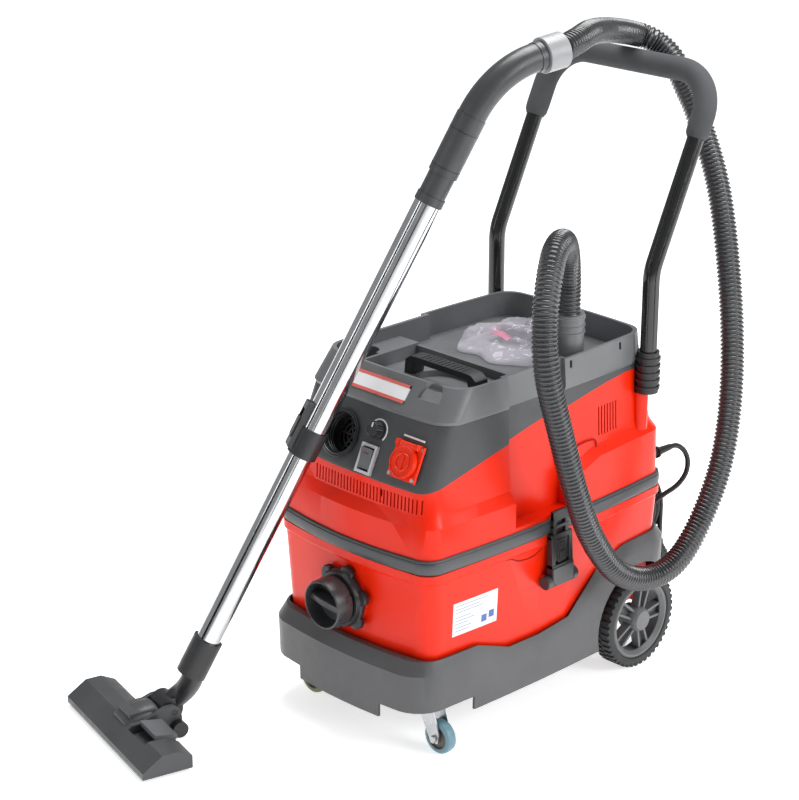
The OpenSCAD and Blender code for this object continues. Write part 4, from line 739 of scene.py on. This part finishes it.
# ---- floor nozzle ----
# A wide floor nozzle of grey polypropylene: shell with a sloping front and chamfered ends, a hump
# that carries the elbow, a foot pedal, brush strips with a toothed lip, and two small rollers.
nozzle_grey = moulded_plastic("moulded_nozzle_polypropylene", "#3d3f41", "#47494b", 0.45, 0.9, 0.03, gloss=0.45)
pedal_grey = moulded_plastic("moulded_pedal_nylon", "#55585a", "#616466", 0.4, 0.8, 0.02, gloss=0.5)
bristle_black = moulded_plastic("nylon_bristle_strip", "#131415", "#1d1e1f", 0.8, 0.9, 0.2, gloss=0.2)
for node, material, soft in (("nozzle_body", nozzle_grey, 1.4), ("nozzle_neck", black_nylon, 1.0),
                             ("nozzle_pedal", pedal_grey, 1.0), ("nozzle_roller", black_nylon, 0.8)):
    dress(node, material, soft=soft)
nozzle_place = Matrix.Translation((-190.6, -510, 0)) @ Matrix.Rotation(math.radians(-14.25), 4, "Z")
nozzle_half, tooth_pitch = 134.0, 6.0
hump_rings = []
for y, half, low, top in ((-14, 20, 30, 34), (-12, 22, 28, 37), (-4, 23, 26, 42), (8, 23.5, 24, 46.5), (22, 23.5, 22, 48.5),
                          (34, 22.5, 20, 48), (39, 21.5, 20, 46.5), (40.5, 20, 22, 44)):
    hump_rings.append([(x * half, y, low + (top - low) * h) for x, h in
                       ((-1, 0), (-1, 0.5), (-0.9, 0.8), (-0.68, 0.95), (-0.3, 1), (0.3, 1), (0.68, 0.95), (0.9, 0.8), (1, 0.5), (1, 0))])
hump = add_piece("nozzle_elbow_hump", *skin(hump_rings), nozzle_grey, "nozzle", nozzle_place, sharp=50, bevel=0.6)
tufts = []
for row in (-32, 30):
    for n in range(int(2 * (nozzle_half - 7) / 3.2)):
        x = -nozzle_half + 7 + 3.2 * n
        lean = 0.35 * math.sin(2.1 * n + row)
        tufts.append(skin([[(x - 1.2 + lean, row - 2.2, 0.2), (x + 1.2 + lean, row - 2.2, 0.2), (x + 1.2 + lean, row + 2.2, 0.2),
                            (x - 1.2 + lean, row + 2.2, 0.2)],
                           [(x - 1.3, row - 2.6, 7.4), (x + 1.3, row - 2.6, 7.4), (x + 1.3, row + 2.6, 7.4), (x - 1.3, row + 2.6, 7.4)]]))
brush = add_piece("nozzle_brush_tufts", *join(*tufts), bristle_black, "brush", nozzle_place)
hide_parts("nozzle_brush")
# Painted highlight: a thin pale strip along the front lip's lower edge stands in for the light caught on that edge.
lip_highlight_strip = block(-nozzle_half + 1, nozzle_half - 1, -38.35, -37.4, 7.6, 8.8)
lip_highlight = add_piece("nozzle_lip_painted_highlight", *lip_highlight_strip, collar_grey, "nozzle", nozzle_place)

# ---- accessory bag ----
# A clear polyethylene bag of small tools lying in the tray: crumpled thin film with bright folds,
# sagging between the tools in it, its mouth pressed flat towards the left.
bag_film = bpy.data.materials.new("clear_polyethylene_film")
bag_film.use_nodes = True
film_shader = bag_film.node_tree.nodes["Principled BSDF"]
film_shader.inputs["Base Color"].default_value = linear("#e4e0ec")
film_shader.inputs["IOR"].default_value = 1.51
film_place = add_node(bag_film, "ShaderNodeTexCoord")
crumple = add_node(bag_film, "ShaderNodeTexNoise", {"noise_type": "RIDGED_MULTIFRACTAL"},
                   {"Scale": 32.0, "Detail": 3.0, "Roughness": 0.5}, {"Vector": (film_place, "Object")})
fold_tone = add_node(bag_film, "ShaderNodeMapRange", inputs={"From Min": 0.3, "From Max": 1.3, "To Min": 0.3, "To Max": 0.9},
                     links={"Value": (crumple, "Fac")})
fold_relief = add_node(bag_film, "ShaderNodeBump", inputs={"Strength": 0.9, "Distance": 0.004},
                       links={"Height": (crumple, "Fac")})
fold_gloss = add_node(bag_film, "ShaderNodeMapRange", inputs={"To Min": 0.08, "To Max": 0.3}, links={"Value": (crumple, "Fac")})
for source, output, target in ((fold_tone, "Result", "Alpha"), (fold_relief, "Normal", "Normal"),
                               (fold_gloss, "Result", "Roughness")):
    bag_film.node_tree.links.new(source.outputs[output], film_shader.inputs[target])
bag_steps, bag_around = 64, 84
bag_low, bag_high = [[c / MM for c in corner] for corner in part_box("accessory_bag")]
bag_x, bag_y, bag_floor, bag_rise = -8.0, 98.0, bag_low[2] + 0.5, bag_high[2] - bag_low[2] - 2.0
bag_half_x, bag_half_y = 82.0, 80.0


def film_height(u, v):
    """How far the film stands up over the tools in the bag, from 0 to 1, at a place in its outline."""
    tools = 0.62 * math.exp(-((v + 0.1 - 0.35 * u) / 0.42) ** 2) + 0.42 * math.exp(-((v - 0.55) / 0.2) ** 2)
    slope = 0.62 + 0.38 * min((u + 1) / 0.9, 1)
    return min((tools + 0.3) * slope, 0.96) * min((1 - abs(u)) / 0.18, 1) ** 0.7 + 0.04


def crease(place):
    """The film's sharp folds: ridges of two sizes, in millimetres."""
    return (9 * abs(noise.noise(place * 0.026)) + 5.5 * abs(noise.noise(place * 0.07))
            + 2.2 * abs(noise.noise(place * 0.17)))


bag_rings = []
for i in range(bag_steps + 1):
    u = -1 + 2 * i / bag_steps
    width = (1 - abs(u) ** 4) ** 0.5 * (0.9 + 0.08 * math.sin(7 * u)) + 0.03
    ring = []
    for k in range(bag_around):
        v, rise = width * math.cos(2 * math.pi * k / bag_around), max(math.sin(2 * math.pi * k / bag_around), 0)
        place = Vector((bag_x + bag_half_x * u, bag_y + bag_half_y * v, 0))
        up = bag_rise * min(rise * 1.5, 1) ** 0.8 * film_height(u, v)
        fold = crease(Vector((place.x, place.y, 20 * rise))) * min(up / 12, 1)
        ring.append((place.x, place.y, bag_floor + max(up - fold, 0.4 * rise)))
    bag_rings.append(ring)
bag = add_piece("accessory_bag_film", *skin(bag_rings), bag_film, "head", sharp=34)
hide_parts("accessory_bag")
crevice_tool = skin([[(x, y - w, z - h), (x, y + w, z - h), (x, y + w, z + h), (x, y - w, z + h)]
                     for x, y, z, w, h in ((-62, 112, 503, 6, 4), (-20, 116, 504, 9, 6), (20, 120, 505, 12, 9), (48, 122, 506, 13, 11))])
round_brush = moved(lathe([(4, -8), (15, -6), (17, 0), (15, 5), (9, 8), (8, 24), (6, 25)], 28),
                    Matrix.Translation((-24, 148, 500)) @ Matrix.Rotation(math.radians(75), 4, "Y"))
bag_tools = add_piece("bagged_small_tools", *join(crevice_tool, round_brush), black_nylon, "head", bevel=0.8)
leaflet_pink = printed_sheet("pink_printed_leaflet", "#d64a78", 0.5)
leaflet = add_piece("bagged_leaflet", *skin([[(x, 96 + 0.1 * x, 493 + lift), (x, 128 + 0.1 * x, 496 + lift),
                                              (x, 128 + 0.1 * x, 496.6 + lift), (x, 96 + 0.1 * x, 493.6 + lift)]
                                             for x, lift in ((-66, 2), (-56, 6), (-46, 7), (-36, 4), (-28, 1))]), leaflet_pink, "head")

# ---- motor, filter and float ----
# The parts inside: a pressed-steel by-pass motor with a die-cast fan, a pleated paper cartridge,
# and a float ball in a nylon cage.
motor_steel = plated_metal("pressed_steel_motor_can", ("#85888b", "#989b9e"), 0.4, 4.0, 0.02)
fan_alloy = plated_metal("die_cast_aluminium_fan", ("#a5a8ab", "#b6b9bc"), 0.45, 1.5, 0.03)
filter_paper = moulded_plastic("pleated_filter_paper", "#cfc49c", "#ddd3ae", 0.9, 1.0, 0.1, gloss=0.2)
float_white = moulded_plastic("blow_moulded_float", "#dedbd2", "#e9e7e0", 0.4, 1.5, 0.01, gloss=0.5)
for node, material in (("motor", motor_steel), ("impeller", fan_alloy), ("filter_cartridge", filter_paper),
                       ("float_cage", black_nylon), ("float_ball", float_white)):
    dress(node, material)

# ---- studio ----
# A pale seamless floor under large soft lights, and three black cloths that only the bright metal
# mirrors, as a photographer hangs them round chrome.
floor_mesh = bpy.data.meshes.new("studio_floor")
floor_mesh.from_pydata([(-12, -12, 0), (12, -12, 0), (12, 12, 0), (-12, 12, 0)], [], [(0, 1, 2, 3)])
floor_paint = bpy.data.materials.new("pale_floor_paint")
floor_paint.use_nodes = True
floor_paint.node_tree.nodes["Principled BSDF"].inputs["Base Color"].default_value = linear("#f2f2f2")
floor_paint.node_tree.nodes["Principled BSDF"].inputs["Roughness"].default_value = 0.9
floor_paint.node_tree.nodes["Principled BSDF"].inputs["Emission Color"].default_value = linear("#ffffff")
floor_paint.node_tree.nodes["Principled BSDF"].inputs["Emission Strength"].default_value = 0.62
floor_mesh.materials.append(floor_paint)
floor = bpy.data.objects.new("studio_floor", floor_mesh)
scene.collection.objects.link(floor)
for name, place, aim, size, power, colour in (
        ("key_softbox", (3.4, 0.9, 1.9), (0, 0, 0.4), 1.9, 92, "#ffffff"),
        ("top_softbox", (-0.3, 0.9, 3.6), (0, 0, 0.3), 2.2, 150, "#ffffff"),
        ("front_softbox", (-1.2, -3.8, 1.9), (0, 0, 0.5), 1.8, 22, "#ffffff")):
    glow = bpy.data.lights.new(name, "AREA")
    glow.size, glow.energy = size, power
    glow.color = linear(colour)[:3]
    lamp = bpy.data.objects.new(name, glow)
    lamp.location = place
    lamp.rotation_euler = (Vector(aim) - Vector(place)).to_track_quat("-Z", "Y").to_euler()
    scene.collection.objects.link(lamp)
black_cloth = moulded_plastic("black_studio_cloth", "#0a0a0b", "#0d0d0e", 0.95, 2.0, 0.1, gloss=0.1)
for number, (x, y, width, turn) in enumerate(((-0.5, -1.9, 0.55, -12), (1.5, 0.35, 0.3, 100), (0.9, -1.5, 0.16, 30))):
    flag_mesh = bpy.data.meshes.new("studio_flag")
    flag_mesh.from_pydata([(-width / 2, 0, 0), (width / 2, 0, 0), (width / 2, 0, 3), (-width / 2, 0, 3)], [], [(0, 1, 2, 3)])
    flag_mesh.materials.append(black_cloth)
    flag = bpy.data.objects.new("studio_flag_" + str(number), flag_mesh)
    flag.location, flag.rotation_euler = (x, y, 0.05), (0, 0, math.radians(turn))
    flag.visible_camera = flag.visible_diffuse = flag.visible_shadow = flag.visible_transmission = False
    scene.collection.objects.link(flag)
sky = bpy.data.worlds.new("studio_room")
sky.use_nodes = True
sky.node_tree.nodes["Background"].inputs["Color"].default_value = linear("#ffffff")
sky.node_tree.nodes["Background"].inputs["Strength"].default_value = 0.34
scene.world = sky
